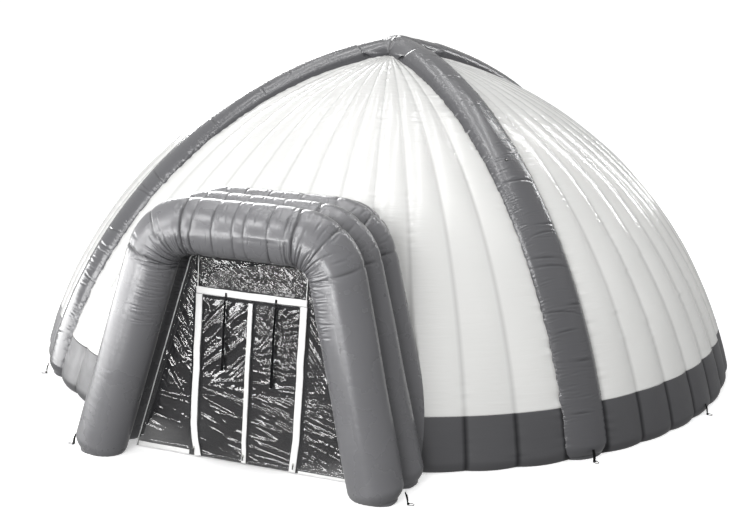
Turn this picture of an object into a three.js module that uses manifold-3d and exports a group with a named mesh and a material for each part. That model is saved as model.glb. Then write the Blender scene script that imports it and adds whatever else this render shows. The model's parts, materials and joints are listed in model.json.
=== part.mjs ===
// Inflatable dome tent with an entrance tunnel. Millimetres, +Z up, ground at z = 0.
// Four air beams cross at the crown. White ribbed gores, grey base bands and an inner liner
// hang between them. The tunnel is a row of nested air arches that faces -Y, closed by a clear
// film wall with a zipped double door. Azimuths are in degrees from -Y, positive towards +X.
import * as THREE from 'three';
import { mergeVertices } from 'three/addons/utils/BufferGeometryUtils.js';
import Module from 'manifold-3d';

// ---- driving dimensions --------------------------------------------------------------------
const WALL_RADIUS = 5197; // outer wall at the ground
const WALL_HEIGHT = 4510; // outer wall at the crown
const WALL_LEAN = 0.254; // radians that every dome arc leans inwards at the ground
const SKIN = 10; // stand-in thickness of every coated fabric wall
const GAP = 1; // between pieces that touch
const LINER_RADIUS = 4765;
const LINER_HEIGHT = 4210;
const BAND_TOP = 647;
const BAND_FLANGE = 250; // ground flange behind each base band
const LATHE_STEPS = 36;
const PROFILE_STEPS = 7;
const BAND_STEPS = 2;
const GORE_CROWN_HOLE = 60;

const FRONT_BEAM_AZIMUTH = 47.5;
const REAR_BEAM_AZIMUTH = 145;
const BEAM_RADIUS = 5030; // centreline at the ground
const BEAM_HEIGHT = 4490; // centreline at the crown
const BEAM_HALF_WIDTH = 360;
const BEAM_HALF_DEPTH = 228;
const BEAM_TAPER = 0.17; // share of the width lost between the ground and the crown
const BEAM_STEPS = 9;
const CROWN_REACH = 650; // horizontal reach of each arm of the crown piece
const CROWN_GAP = 4;
const CROWN_ROUNDING = 80;
const CROWN_OVERRUN = 60; // how far each arm runs past the axis, inside the others
const CROWN_STEPS = 4;
const TUBE_SIDES = 10; // even, so that each tube has a flat facet outwards and inwards
const BELOW_GROUND = 150; // tubes start this far under z = 0 and are cut off flat

const ARCH_FRONT_Y = -5600; // middle plane of the first arch at the ground
const ARCH_PITCH = 540;
const ARCH_LEAN = 0.102; // run back towards the dome per unit of height
const ARCH_SHOULDER_X = 1054; // where the leg and lintel centrelines would cross
const ARCH_HEIGHT = 2849; // centreline of the front lintel
const ARCH_BEND_RADIUS = 520;
const ARCH_STEPS = 14;
const ARCH_HALF_WIDTH = 335; // in the plane of the arch
const ARCH_HALF_DEPTH = 265;
const ARCH_DROP = 34; // each arch is this much lower than the one in front
const LAST_ARCH_HALF_DEPTH = 140; // a slim arch against the dome
const LAST_ARCH_Y = ARCH_FRONT_Y + 2 * ARCH_PITCH + ARCH_HALF_DEPTH + LAST_ARCH_HALF_DEPTH + 5;
const ARCHES = [
  { y: ARCH_FRONT_Y, footX: 1793, across: ARCH_HALF_DEPTH, inPlane: ARCH_HALF_WIDTH },
  { y: ARCH_FRONT_Y + ARCH_PITCH, footX: 1860, across: ARCH_HALF_DEPTH, inPlane: ARCH_HALF_WIDTH },
  { y: ARCH_FRONT_Y + 2 * ARCH_PITCH, footX: 1870, across: ARCH_HALF_DEPTH, inPlane: ARCH_HALF_WIDTH },
  { y: LAST_ARCH_Y, footX: 1870, across: LAST_ARCH_HALF_DEPTH, inPlane: 310 },
].map((arch, i) => ({ ...arch, height: ARCH_HEIGHT - i * ARCH_DROP }));
const PORT_RADIUS = 45; // air passage between neighbouring arches
const PASSAGE_DEPTH_Y = -2600; // the doorway is cut through the dome wall up to here

const FILM = 6;
const FILM_FOOT_X = 1440;
const FILM_TOP_X = 800;
const FILM_TOP = 2470;
const FILM_BOTTOM = 14;
const DOOR_HALF_WIDTH = 622;
const DOOR_HEIGHT = 1997;
const DOOR_HINGE_Z = 1990;
const DOOR_SPLIT_X = 28; // the leaves part beside the centre flap
const TAPE_WIDTH = 84;
const TAPE_LIFT = 4; // from the film's middle plane to the back of a tape
const FLAP_WIDTH = 55;
const PIPING = 14;
const STRAP_WIDTH = 26;
const STRAP_LEFT_X = -318;
const STRAP_RIGHT_X = 322;
const STRAP_LEFT_LENGTH = 840;
const STRAP_RIGHT_LENGTH = 960;
const STRAP_HEAD_Z = 1955;
const SLIDER_Z = 110; // closed zip, slider at the bottom
const SLIDER_SIDE_X = 645;
const PULL_LENGTH = 55;

const VALVE_HEIGHT = 3203; // height of the beam's centreline at the valve
const VALVE_SIDE = 62; // off the beam's middle line, towards the tunnel
const SLEEVE_RADIUS = 150;
const SLEEVE_END_Y = 5865; // as far back as the tunnel reaches forward
const SLEEVE_Z = 160;
const RING_BAR = 8;
const RING_WIDTH = 62;
const RING_LENGTH = 74;
const TAB_HEIGHT = 96;

// ---- materials -----------------------------------------------------------------------------
function paint(color, roughness, metalness = 0) {
  return new THREE.MeshStandardMaterial({ color, roughness, metalness });
}
const BEAM_GREY = paint(0x66666a, 0.3);
const ARCH_GREY = paint(0x86868b, 0.3);
const BAND_GREY = paint(0x4a4a4e, 0.4);
const GORE_WHITE = paint(0xe6e6e2, 0.3);
const LINER_GREY = paint(0x3c3c40, 0.6);
const CLEAR_FILM = paint(0x8d9196, 0.1);
const TAPE_WHITE = paint(0xf2f2f0, 0.6);
const WEBBING_BLACK = paint(0x151516, 0.8);
const ZIP_METAL = paint(0xb0b2b5, 0.35, 0.9);
const RING_STEEL = paint(0x3a3c3e, 0.45, 0.8);
const VALVE_PLASTIC = paint(0x1d1d1f, 0.5);

// ---- closed-body helpers -------------------------------------------------------------------
const wasm = await Module();
wasm.setup();

function toSolid(geometry) {
  const bare = geometry.clone();
  bare.deleteAttribute('normal');
  bare.deleteAttribute('uv');
  const merged = mergeVertices(bare, 0.001);
  return new wasm.Manifold(new wasm.Mesh({
    numProp: 3,
    vertProperties: new Float32Array(merged.attributes.position.array),
    triVerts: new Uint32Array(merged.index.array),
  }));
}

function toGeometry(solid) {
  const mesh = solid.getMesh();
  const geometry = new THREE.BufferGeometry();
  geometry.setAttribute('position', new THREE.BufferAttribute(new Float32Array(mesh.vertProperties), 3));
  geometry.setIndex(new THREE.BufferAttribute(new Uint32Array(mesh.triVerts), 1));
  geometry.computeVertexNormals();
  return geometry;
}

const tent = new THREE.Group();

function add(name, geometry, material, parent = tent) {
  const mesh = new THREE.Mesh(geometry, material);
  mesh.name = name;
  parent.add(mesh);
  return mesh;
}

function block(low, high) {
  const geometry = new THREE.BoxGeometry(high[0] - low[0], high[1] - low[1], high[2] - low[2]);
  geometry.translate((low[0] + high[0]) / 2, (low[1] + high[1]) / 2, (low[2] + high[2]) / 2);
  return geometry;
}

const radians = (degrees) => THREE.MathUtils.degToRad(degrees);
const FAR = 20000;
const belowGround = toSolid(block([-FAR, -FAR, -FAR], [FAR, FAR, 0]));
const belowFloorSkin = toSolid(block([-FAR, -FAR, -FAR], [FAR, FAR, SKIN]));

// ---- dome arcs -----------------------------------------------------------------------------
// Every dome line is one circular arc that leans inwards at the ground and ends on the axis,
// so that the crown comes to a low point.
function domeArc(radius, height) {
  const lean = Math.cos(WALL_LEAN) * radius - Math.sin(WALL_LEAN) * height;
  const bend = (radius ** 2 + height ** 2) / (2 * lean);
  const centre = { x: radius - bend * Math.cos(WALL_LEAN), z: -bend * Math.sin(WALL_LEAN) };
  return {
    bend,
    centre,
    angleAtHeight: (z) => Math.asin((z - centre.z) / bend),
    angleAtRadius: (x) => Math.acos((x - centre.x) / bend),
    point: (angle) => ({ x: centre.x + bend * Math.cos(angle), z: centre.z + bend * Math.sin(angle) }),
  };
}

function arcPoints(arc, from, to, steps) {
  const points = [];
  for (let i = 0; i <= steps; i += 1) {
    const { x, z } = arc.point(from + ((to - from) * i) / steps);
    points.push(new THREE.Vector2(x, z));
  }
  return points;
}

function revolve(points) {
  const geometry = new THREE.LatheGeometry(points, LATHE_STEPS);
  geometry.rotateX(Math.PI / 2);
  return toSolid(geometry);
}

// A thin wall between two arcs from one height up to a small hole at the crown.
function domeWall(radius, height, bottom, crownHole) {
  const outer = domeArc(radius, height);
  const inner = domeArc(radius - SKIN, height - SKIN);
  const rising = arcPoints(outer, outer.angleAtHeight(bottom), outer.angleAtRadius(crownHole), PROFILE_STEPS);
  const innerTop = inner.angleAtRadius(crownHole);
  const falling = arcPoints(inner, innerTop, inner.angleAtHeight(bottom), PROFILE_STEPS);
  return revolve([...rising, ...falling, rising[0].clone()]);
}

// The whole space inside the outer wall, grown by a small gap and with the wall's own facets.
function domeEnvelope() {
  const outer = domeArc(WALL_RADIUS + GAP, WALL_HEIGHT + GAP);
  const at = outer.angleAtHeight;
  const band = arcPoints(outer, at(0), at(BAND_TOP), BAND_STEPS);
  const gore = arcPoints(outer, at(BAND_TOP + 4), outer.angleAtRadius(GORE_CROWN_HOLE), PROFILE_STEPS);
  return revolve([
    new THREE.Vector2(0, -BELOW_GROUND),
    new THREE.Vector2(WALL_RADIUS + GAP, -BELOW_GROUND),
    ...band,
    ...gore,
    new THREE.Vector2(0, WALL_HEIGHT + GAP),
  ]);
}

// An upright wedge that keeps the part of the dome between two azimuths, less a gap at each.
function sector(from, to, gap) {
  const half = radians((to - from) / 2);
  const middle = radians((from + to) / 2);
  const shift = gap / Math.sin(half);
  const corner = (azimuth, length) => new THREE.Vector2(
    Math.sin(azimuth) * length + Math.sin(middle) * shift,
    -Math.cos(azimuth) * length - Math.cos(middle) * shift,
  );
  const outline = new THREE.Shape([
    corner(middle, 0),
    corner(middle - half, FAR / 2),
    corner(middle, FAR),
    corner(middle + half, FAR / 2),
  ]);
  const geometry = new THREE.ExtrudeGeometry(outline, { depth: FAR / 2, bevelEnabled: false });
  geometry.translate(0, 0, -FAR / 20);
  return toSolid(geometry);
}

// ---- air tubes -----------------------------------------------------------------------------
// A path whose steps follow its own parameter, so that bends get more of them than straights.
class TubePath extends THREE.Curve {
  constructor(pointAt) {
    super();
    this.pointAt = pointAt;
  }
  getPoint(t) {
    const { x, z } = this.pointAt(t);
    return new THREE.Vector3(x, 0, z);
  }
  getPointAt(t) {
    return this.getPoint(t);
  }
  getTangentAt(t) {
    return this.getTangent(t);
  }
}

// Runs in the XZ plane: `across` is the half size along Y, `inPlane` the other one.
function tube(path, across, inPlane, steps) {
  const section = new THREE.Shape();
  section.absellipse(0, 0, across, inPlane, 0, 2 * Math.PI);
  return new THREE.ExtrudeGeometry(section, {
    extrudePath: path,
    steps,
    curveSegments: TUBE_SIDES / 2,
    bevelEnabled: false,
  });
}

function narrowUpwards(geometry) {
  const position = geometry.attributes.position;
  for (let i = 0; i < position.count; i += 1) {
    const share = 1 - BEAM_TAPER * Math.max(0, position.getZ(i) / BEAM_HEIGHT);
    position.setY(i, position.getY(i) * share);
  }
  return geometry;
}

const beamArc = domeArc(BEAM_RADIUS, BEAM_HEIGHT);
const turnFor = (azimuth) => azimuth - 90; // turns +X onto an azimuth

function beamPath(reach) {
  const from = beamArc.angleAtHeight(-BELOW_GROUND);
  const to = beamArc.angleAtRadius(reach);
  return new TubePath((t) => beamArc.point(from + (to - from) * t));
}

function beamTube(grow, reach) {
  const raw = tube(beamPath(reach), BEAM_HALF_WIDTH + grow, BEAM_HALF_DEPTH + grow, BEAM_STEPS);
  return toSolid(narrowUpwards(raw));
}

// One arm of the crown, from its reach to just past the axis, where it is rounded off.
function crownPath(reach) {
  return new TubePath((t) => {
    const x = reach - (reach + CROWN_OVERRUN) * t;
    return { x, z: beamArc.point(beamArc.angleAtRadius(Math.hypot(x, CROWN_ROUNDING))).z };
  });
}

function crownTube(grow, reach) {
  const raw = tube(crownPath(reach), BEAM_HALF_WIDTH + grow, BEAM_HALF_DEPTH + grow, CROWN_STEPS);
  const arm = toSolid(narrowUpwards(raw));
  let crown = arm.rotate([0, 0, turnFor(FRONT_BEAM_AZIMUTH)]);
  for (const azimuth of [-FRONT_BEAM_AZIMUTH, REAR_BEAM_AZIMUTH, -REAR_BEAM_AZIMUTH]) {
    crown = crown.add(arm.rotate([0, 0, turnFor(azimuth)]));
  }
  return crown;
}

// ---- beams and crown -----------------------------------------------------------------------
const valveArcAngle = beamArc.angleAtHeight(VALVE_HEIGHT);

// Where the relief valve stands on its beam's outer facet, before the beam is turned.
function valvePlace() {
  const centre = beamArc.point(valveArcAngle);
  const axis = new THREE.Vector3(Math.cos(valveArcAngle), 0, Math.sin(valveArcAngle));
  const place = new THREE.Vector3(centre.x, -VALVE_SIDE, centre.z);
  place.addScaledVector(axis, BEAM_HALF_DEPTH * Math.cos(Math.PI / TUBE_SIDES));
  return { place, axis };
}

const beamSides = [
  ['front_left', -FRONT_BEAM_AZIMUTH],
  ['front_right', FRONT_BEAM_AZIMUTH],
  ['rear_right', REAR_BEAM_AZIMUTH],
  ['rear_left', -REAR_BEAM_AZIMUTH],
];

const beamCavity = beamTube(-SKIN, CROWN_REACH - 40).subtract(belowFloorSkin);
const beamShell = beamTube(0, CROWN_REACH).subtract(belowGround).subtract(beamCavity);
let allBeams = crownTube(GAP, CROWN_REACH + 60);
for (const [side, azimuth] of beamSides) {
  let shell = beamShell;
  if (side === 'front_right') {
    const { place, axis } = valvePlace();
    const drill = new THREE.CylinderGeometry(12, 12, 60, 6);
    drill.applyQuaternion(new THREE.Quaternion().setFromUnitVectors(new THREE.Vector3(0, 1, 0), axis));
    drill.translate(place.x, place.y, place.z);
    shell = shell.subtract(toSolid(drill));
  }
  const mesh = add(`beam_${side}`, toGeometry(shell), BEAM_GREY);
  mesh.rotation.z = radians(turnFor(azimuth));
  allBeams = allBeams.add(beamTube(GAP, CROWN_REACH).rotate([0, 0, turnFor(azimuth)]));
}
const crownCavity = crownTube(-SKIN, CROWN_REACH + 40);
const crownShell = crownTube(0, CROWN_REACH - CROWN_GAP).subtract(crownCavity);
add('crown_cross', toGeometry(crownShell), BEAM_GREY);

// ---- tunnel arches -------------------------------------------------------------------------
const LEG_SHARE = 2 / ARCH_STEPS; // share of the path's parameter that each leg takes
const BEND_SHARE = 4 / ARCH_STEPS;

// The centreline from the right foot (t = 0) up the leg, round the shoulder, along the lintel
// and down the other side.
function archPath({ footX, height }) {
  const tilt = Math.atan2(footX - ARCH_SHOULDER_X, height);
  const turn = Math.PI / 2 - tilt;
  const tangent = ARCH_BEND_RADIUS * Math.tan(turn / 2);
  const straight = height / Math.cos(tilt) - tangent;
  const bend = { x: ARCH_SHOULDER_X - tangent, z: height - ARCH_BEND_RADIUS };
  return new TubePath((t) => {
    const half = t <= 0.5 ? t : 1 - t;
    const sign = t <= 0.5 ? 1 : -1;
    if (half < LEG_SHARE) {
      const distance = -BELOW_GROUND + ((straight + BELOW_GROUND) * half) / LEG_SHARE;
      return { x: sign * (footX - distance * Math.sin(tilt)), z: distance * Math.cos(tilt) };
    }
    if (half < LEG_SHARE + BEND_SHARE) {
      const angle = tilt + (turn * (half - LEG_SHARE)) / BEND_SHARE;
      return {
        x: sign * (bend.x + ARCH_BEND_RADIUS * Math.cos(angle)),
        z: bend.z + ARCH_BEND_RADIUS * Math.sin(angle),
      };
    }
    const rest = (half - LEG_SHARE - BEND_SHARE) / (0.5 - LEG_SHARE - BEND_SHARE);
    return { x: sign * bend.x * (1 - rest), z: height };
  });
}

const leanBack = new THREE.Matrix4().makeShear(0, 0, 0, 0, 0, ARCH_LEAN);

function archTube(grow, arch) {
  const raw = tube(archPath(arch), arch.across + grow, arch.inPlane + grow, ARCH_STEPS);
  raw.translate(0, arch.y, 0);
  raw.applyMatrix4(leanBack);
  return toSolid(raw);
}

const envelope = domeEnvelope();
const frontArch = ARCHES[0];
const lintelY = frontArch.y + ARCH_LEAN * frontArch.height;
const portLength = LAST_ARCH_Y - ARCH_FRONT_Y;
const portTube = new THREE.CylinderGeometry(PORT_RADIUS, PORT_RADIUS, portLength, 6);
portTube.translate(0, lintelY + portLength / 2, frontArch.height);
const port = toSolid(portTube);
ARCHES.forEach((arch, i) => {
  const cavity = archTube(-SKIN, arch).subtract(belowFloorSkin);
  const shell = archTube(0, arch).subtract(belowGround).subtract(cavity).subtract(port).subtract(envelope);
  add(`tunnel_arch_${i + 1}`, toGeometry(shell), ARCH_GREY);
});

// ---- gores, liner and base bands -----------------------------------------------------------
// The doorway through the dome is as wide and as high as the front arch is inside.
const legSlope = (frontArch.footX - ARCH_SHOULDER_X) / frontArch.height;
const legHalfWidth = ARCH_HALF_WIDTH * Math.hypot(1, legSlope); // of a leg, measured level
function passage() {
  const foot = frontArch.footX - legHalfWidth;
  const top = frontArch.height - ARCH_HALF_WIDTH;
  const slope = legSlope;
  const outline = new THREE.Shape([
    new THREE.Vector2(-foot - slope * BELOW_GROUND, -BELOW_GROUND),
    new THREE.Vector2(foot + slope * BELOW_GROUND, -BELOW_GROUND),
    new THREE.Vector2(foot - slope * top, top),
    new THREE.Vector2(-foot + slope * top, top),
  ]);
  const depth = PASSAGE_DEPTH_Y - ARCH_FRONT_Y;
  const geometry = new THREE.ExtrudeGeometry(outline, { depth, bevelEnabled: false });
  geometry.rotateX(Math.PI / 2);
  geometry.translate(0, PASSAGE_DEPTH_Y, 0);
  return toSolid(geometry);
}

function bandWall() {
  const outer = domeArc(WALL_RADIUS, WALL_HEIGHT);
  const inner = domeArc(WALL_RADIUS - SKIN, WALL_HEIGHT - SKIN);
  const rising = arcPoints(outer, outer.angleAtHeight(0), outer.angleAtHeight(BAND_TOP), BAND_STEPS);
  const falling = arcPoints(inner, inner.angleAtHeight(BAND_TOP), inner.angleAtHeight(SKIN), BAND_STEPS);
  const flange = WALL_RADIUS - BAND_FLANGE;
  return revolve([
    ...rising,
    ...falling,
    new THREE.Vector2(flange, SKIN),
    new THREE.Vector2(flange, 0),
    rising[0].clone(),
  ]);
}

const doorway = passage();
const sleeveOuter = new THREE.Shape();
sleeveOuter.absellipse(0, 0, SLEEVE_RADIUS, SLEEVE_RADIUS, 0, 2 * Math.PI);
const sleeveInner = new THREE.Shape();
sleeveInner.absellipse(0, 0, SLEEVE_RADIUS - SKIN / 2, SLEEVE_RADIUS - SKIN / 2, 0, 2 * Math.PI);

function sleeveRod(section, from, to) {
  const geometry = new THREE.ExtrudeGeometry(section, {
    depth: to - from,
    curveSegments: 5,
    bevelEnabled: false,
  });
  geometry.rotateX(-Math.PI / 2);
  geometry.translate(0, from, SLEEVE_Z);
  return toSolid(geometry);
}

const goreWall = domeWall(WALL_RADIUS, WALL_HEIGHT, BAND_TOP + 4, GORE_CROWN_HOLE).subtract(allBeams);
const linerWall = domeWall(LINER_RADIUS, LINER_HEIGHT, 0, 90);
const bands = bandWall().subtract(allBeams).subtract(doorway);
const sleevePort = sleeveRod(sleeveInner, WALL_RADIUS - 400, SLEEVE_END_Y + 100);
const LINER_GAP = 2;
const goreSides = [
  ['front', -FRONT_BEAM_AZIMUTH, FRONT_BEAM_AZIMUTH],
  ['right', FRONT_BEAM_AZIMUTH, REAR_BEAM_AZIMUTH],
  ['rear', REAR_BEAM_AZIMUTH, 360 - REAR_BEAM_AZIMUTH],
  ['left', -REAR_BEAM_AZIMUTH, -FRONT_BEAM_AZIMUTH],
];
for (const [side, from, to] of goreSides) {
  const wedge = sector(from, to, LINER_GAP);
  const opened = (wall) => (side === 'front' ? wall.subtract(doorway) : wall);
  add(`gore_${side}`, toGeometry(opened(goreWall.intersect(wedge))), GORE_WHITE);
  add(`liner_${side}`, toGeometry(opened(linerWall.intersect(wedge))), LINER_GREY);
}
add('base_band_front_left', toGeometry(bands.intersect(sector(-FRONT_BEAM_AZIMUTH, 0, GAP))), BAND_GREY);
add('base_band_front_right', toGeometry(bands.intersect(sector(0, FRONT_BEAM_AZIMUTH, GAP))), BAND_GREY);
for (const [side, from, to] of goreSides.slice(1)) {
  const piece = bands.intersect(sector(from, to, GAP));
  const opened = side === 'rear' ? piece.subtract(sleevePort) : piece;
  add(`base_band_${side}`, toGeometry(opened), BAND_GREY);
}

// ---- inflation sleeve at the back ----------------------------------------------------------
const sleeveShell = sleeveRod(sleeveOuter, WALL_RADIUS - 300, SLEEVE_END_Y)
  .subtract(envelope)
  .subtract(sleevePort);
add('inflation_sleeve', toGeometry(sleeveShell), BAND_GREY);

// ---- film wall, door and zips --------------------------------------------------------------
// Local axes of the film group: x across, z up the leaning plane, -y outwards.
const wallPlane = new THREE.Group();
wallPlane.position.y = ARCH_FRONT_Y + ARCH_PITCH / 2;
wallPlane.rotation.x = -Math.atan(ARCH_LEAN);
tent.add(wallPlane);

function plate(points, front, back) {
  const outline = new THREE.Shape(points.map(([x, z]) => new THREE.Vector2(x, z)));
  const geometry = new THREE.ExtrudeGeometry(outline, { depth: back - front, bevelEnabled: false });
  geometry.rotateX(Math.PI / 2);
  geometry.translate(0, back, 0);
  return geometry;
}

const tapeBack = -TAPE_LIFT;
const tapeFront = tapeBack - FILM;
add('film_surround', plate([
  [-FILM_FOOT_X, FILM_BOTTOM],
  [-DOOR_HALF_WIDTH, FILM_BOTTOM],
  [-DOOR_HALF_WIDTH, DOOR_HEIGHT],
  [DOOR_HALF_WIDTH, DOOR_HEIGHT],
  [DOOR_HALF_WIDTH, FILM_BOTTOM],
  [FILM_FOOT_X, FILM_BOTTOM],
  [FILM_TOP_X, FILM_TOP],
  [-FILM_TOP_X, FILM_TOP],
], -FILM / 2, FILM / 2), CLEAR_FILM, wallPlane);

const leafTop = DOOR_HINGE_Z - 5;
const leafEdge = DOOR_HALF_WIDTH - 4;
const leafBottom = FILM_BOTTOM + 4;
add('door_leaf_left', block(
  [-leafEdge, -FILM / 2, leafBottom],
  [DOOR_SPLIT_X - 2, FILM / 2, leafTop],
), CLEAR_FILM, wallPlane);
add('door_leaf_right', block(
  [DOOR_SPLIT_X + 2, -FILM / 2, leafBottom],
  [leafEdge, FILM / 2, leafTop],
), CLEAR_FILM, wallPlane);
add('zip_flap_centre', block(
  [DOOR_SPLIT_X - 2 - FLAP_WIDTH, tapeFront, leafBottom + 4],
  [DOOR_SPLIT_X - 2, tapeBack, leafTop - 25],
), TAPE_WHITE, wallPlane);

const frameOuter = DOOR_HALF_WIDTH + TAPE_WIDTH;
add('door_tape_top', block(
  [-frameOuter, tapeFront, DOOR_HEIGHT],
  [frameOuter, tapeBack, DOOR_HEIGHT + TAPE_WIDTH],
), TAPE_WHITE, wallPlane);
for (const [side, sign] of [['left', -1], ['right', 1]]) {
  const near = sign * DOOR_HALF_WIDTH;
  const far = sign * frameOuter;
  add(`door_tape_${side}`, block(
    [Math.min(near, far), tapeFront, FILM_BOTTOM],
    [Math.max(near, far), tapeBack, DOOR_HEIGHT - GAP],
  ), TAPE_WHITE, wallPlane);
  const hemNear = sign * (frameOuter + 2);
  const hemFar = sign * (FILM_FOOT_X - 40);
  add(`ground_hem_${side}`, block(
    [Math.min(hemNear, hemFar), tapeFront, FILM_BOTTOM],
    [Math.max(hemNear, hemFar), tapeBack, FILM_BOTTOM + (side === 'left' ? 60 : 34)],
  ), TAPE_WHITE, wallPlane);
}

// The piping follows both slopes and the top of the film, with two drops to the door frame.
function pipingFrame() {
  const slope = (FILM_FOOT_X - FILM_TOP_X) / (FILM_TOP - FILM_BOTTOM);
  const run = PIPING * Math.hypot(1, slope);
  const bottom = FILM_BOTTOM + 2;
  let frame = toSolid(block(
    [-FILM_TOP_X, tapeFront, FILM_TOP - PIPING],
    [FILM_TOP_X, tapeBack, FILM_TOP],
  ));
  for (const sign of [-1, 1]) {
    const points = [
      [sign * FILM_FOOT_X, bottom],
      [sign * (FILM_FOOT_X - run), bottom],
      [sign * (FILM_TOP_X - run), FILM_TOP],
      [sign * FILM_TOP_X, FILM_TOP],
    ];
    frame = frame.add(toSolid(plate(sign > 0 ? points.reverse() : points, tapeFront, tapeBack)));
    const dropX = sign * (frameOuter - PIPING);
    frame = frame.add(toSolid(block(
      [dropX - PIPING / 2, tapeFront, DOOR_HEIGHT + TAPE_WIDTH + 2],
      [dropX + PIPING / 2, tapeBack, FILM_TOP - 1],
    )));
  }
  return toGeometry(frame);
}
add('film_piping', pipingFrame(), TAPE_WHITE, wallPlane);

const strapBack = tapeBack - 3;
for (const [side, x, length] of [
  ['left', STRAP_LEFT_X, STRAP_LEFT_LENGTH],
  ['right', STRAP_RIGHT_X, STRAP_RIGHT_LENGTH],
]) {
  add(`roll_up_strap_${side}`, block(
    [x - STRAP_WIDTH / 2, strapBack - 3, STRAP_HEAD_Z - 5 - length],
    [x + STRAP_WIDTH / 2, strapBack, STRAP_HEAD_Z - 5],
  ), WEBBING_BLACK, wallPlane);
}

// A zip slider: a hexagonal body with a bridge, and its pull hanging in front of it.
function sliderBody(x) {
  const outline = new THREE.Shape([
    new THREE.Vector2(x - 9, SLIDER_Z - 22),
    new THREE.Vector2(x + 9, SLIDER_Z - 22),
    new THREE.Vector2(x + 14, SLIDER_Z - 2),
    new THREE.Vector2(x + 11, SLIDER_Z + 22),
    new THREE.Vector2(x - 11, SLIDER_Z + 22),
    new THREE.Vector2(x - 14, SLIDER_Z - 2),
  ]);
  const geometry = new THREE.ExtrudeGeometry(outline, { depth: 10, bevelEnabled: false });
  geometry.rotateX(Math.PI / 2);
  geometry.translate(0, tapeFront - 1, 0);
  const bridge = block([x - 3, tapeFront - 15, SLIDER_Z - 8], [x + 3, tapeFront - 10, SLIDER_Z + 16]);
  return toGeometry(toSolid(geometry).add(toSolid(bridge)));
}

const pullFront = tapeFront - 20;
for (const [side, x] of [['left', -SLIDER_SIDE_X], ['centre', 0], ['right', SLIDER_SIDE_X]]) {
  add(`zip_slider_${side}`, sliderBody(x), ZIP_METAL, wallPlane);
  add(`zip_pull_${side}`, block(
    [x - 6, pullFront, SLIDER_Z - PULL_LENGTH],
    [x + 6, pullFront + 3, SLIDER_Z],
  ), WEBBING_BLACK, wallPlane);
}

// ---- relief valve --------------------------------------------------------------------------
const valveHolder = new THREE.Group();
valveHolder.rotation.z = radians(turnFor(FRONT_BEAM_AZIMUTH));
tent.add(valveHolder);
const valveSeat = new THREE.Group();
const valve = valvePlace();
valveSeat.position.copy(valve.place).addScaledVector(valve.axis, GAP);
valveSeat.quaternion.setFromUnitVectors(new THREE.Vector3(0, 1, 0), valve.axis);
valveHolder.add(valveSeat);

function turned(profile, steps) {
  const points = profile.map(([r, y]) => new THREE.Vector2(r, y));
  return new THREE.LatheGeometry(points, steps);
}
add('relief_valve_body', turned([[17, 0], [30, 0], [30, 3], [23, 5], [23, 12], [17, 12], [17, 0]], 12),
  VALVE_PLASTIC, valveSeat);
add('relief_valve_poppet', turned([[0, 1], [15, 1], [15, 7], [5, 9], [0, 9]], 12),
  TAPE_WHITE, valveSeat);

// ---- anchor points -------------------------------------------------------------------------
// Each is a webbing tab on the wall with a loop at its foot, and a D-ring that turns in it.
const LOOP_OUTER = 11;
const LOOP_INNER = 8;
function tabGeometry(width) {
  const centre = LOOP_OUTER + 1;
  const rod = (radius, length) => {
    const geometry = new THREE.CylinderGeometry(radius, radius, length, 8);
    geometry.translate(centre, 0, centre);
    return toSolid(geometry);
  };
  const strap = toSolid(block([1, -width / 2, centre], [5, width / 2, TAB_HEIGHT]));
  return toGeometry(strap.add(rod(LOOP_OUTER, width)).subtract(rod(LOOP_INNER, width + 2)));
}

function ringGeometry() {
  const half = RING_WIDTH / 2;
  const bow = RING_LENGTH - half - RING_BAR / 2;
  const inner = half - RING_BAR;
  const outline = new THREE.Shape();
  outline.moveTo(-RING_BAR / 2, -half);
  outline.lineTo(bow, -half);
  outline.absarc(bow, 0, half, -Math.PI / 2, Math.PI / 2, false);
  outline.lineTo(-RING_BAR / 2, half);
  const hole = new THREE.Path();
  hole.moveTo(RING_BAR / 2, -inner);
  hole.lineTo(RING_BAR / 2, inner);
  hole.lineTo(bow, inner);
  hole.absarc(bow, 0, inner, Math.PI / 2, -Math.PI / 2, true);
  outline.holes.push(hole);
  const options = { depth: RING_BAR, curveSegments: 3, bevelEnabled: false };
  const geometry = new THREE.ExtrudeGeometry(outline, options);
  geometry.translate(0, 0, -RING_BAR / 2);
  return geometry;
}

// Anchors on the dome stand at a radius and an azimuth; those on the tunnel at a place and a heading.
const beamFace = BEAM_RADIUS + BEAM_HALF_DEPTH + 4;
const domeAnchors = [
  ...beamSides.map(([side, azimuth]) => [`beam_${side}`, azimuth, beamFace]),
  ['side_right', 75, WALL_RADIUS + 4],
  ['side_left', -75, WALL_RADIUS + 4],
];
const anchors = domeAnchors.map(([name, azimuth, radius]) => ({
  name,
  x: Math.sin(radians(azimuth)) * radius,
  y: -Math.cos(radians(azimuth)) * radius,
  heading: turnFor(azimuth),
}));
const tunnelFace = frontArch.footX + legHalfWidth + 4;
for (const [side, sign] of [['left', -1], ['right', 1]]) {
  anchors.push({
    name: `tunnel_${side}`,
    x: sign * tunnelFace,
    y: ARCH_FRONT_Y + ARCH_PITCH / 2 - ARCH_HALF_DEPTH,
    heading: sign > 0 ? 0 : 180,
  });
}
for (const { name, x, y, heading } of anchors) {
  const tab = add(`anchor_tab_${name}`, tabGeometry(36), WEBBING_BLACK);
  const ring = add(`anchor_ring_${name}`, ringGeometry(), RING_STEEL);
  for (const mesh of [tab, ring]) {
    mesh.position.set(x, y, 0);
    mesh.rotation.z = radians(heading);
  }
  const out = new THREE.Vector3(LOOP_OUTER + 1, 0, LOOP_OUTER + 1);
  ring.position.add(out.applyAxisAngle(new THREE.Vector3(0, 0, 1), radians(heading)));
}

export default tent;
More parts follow.
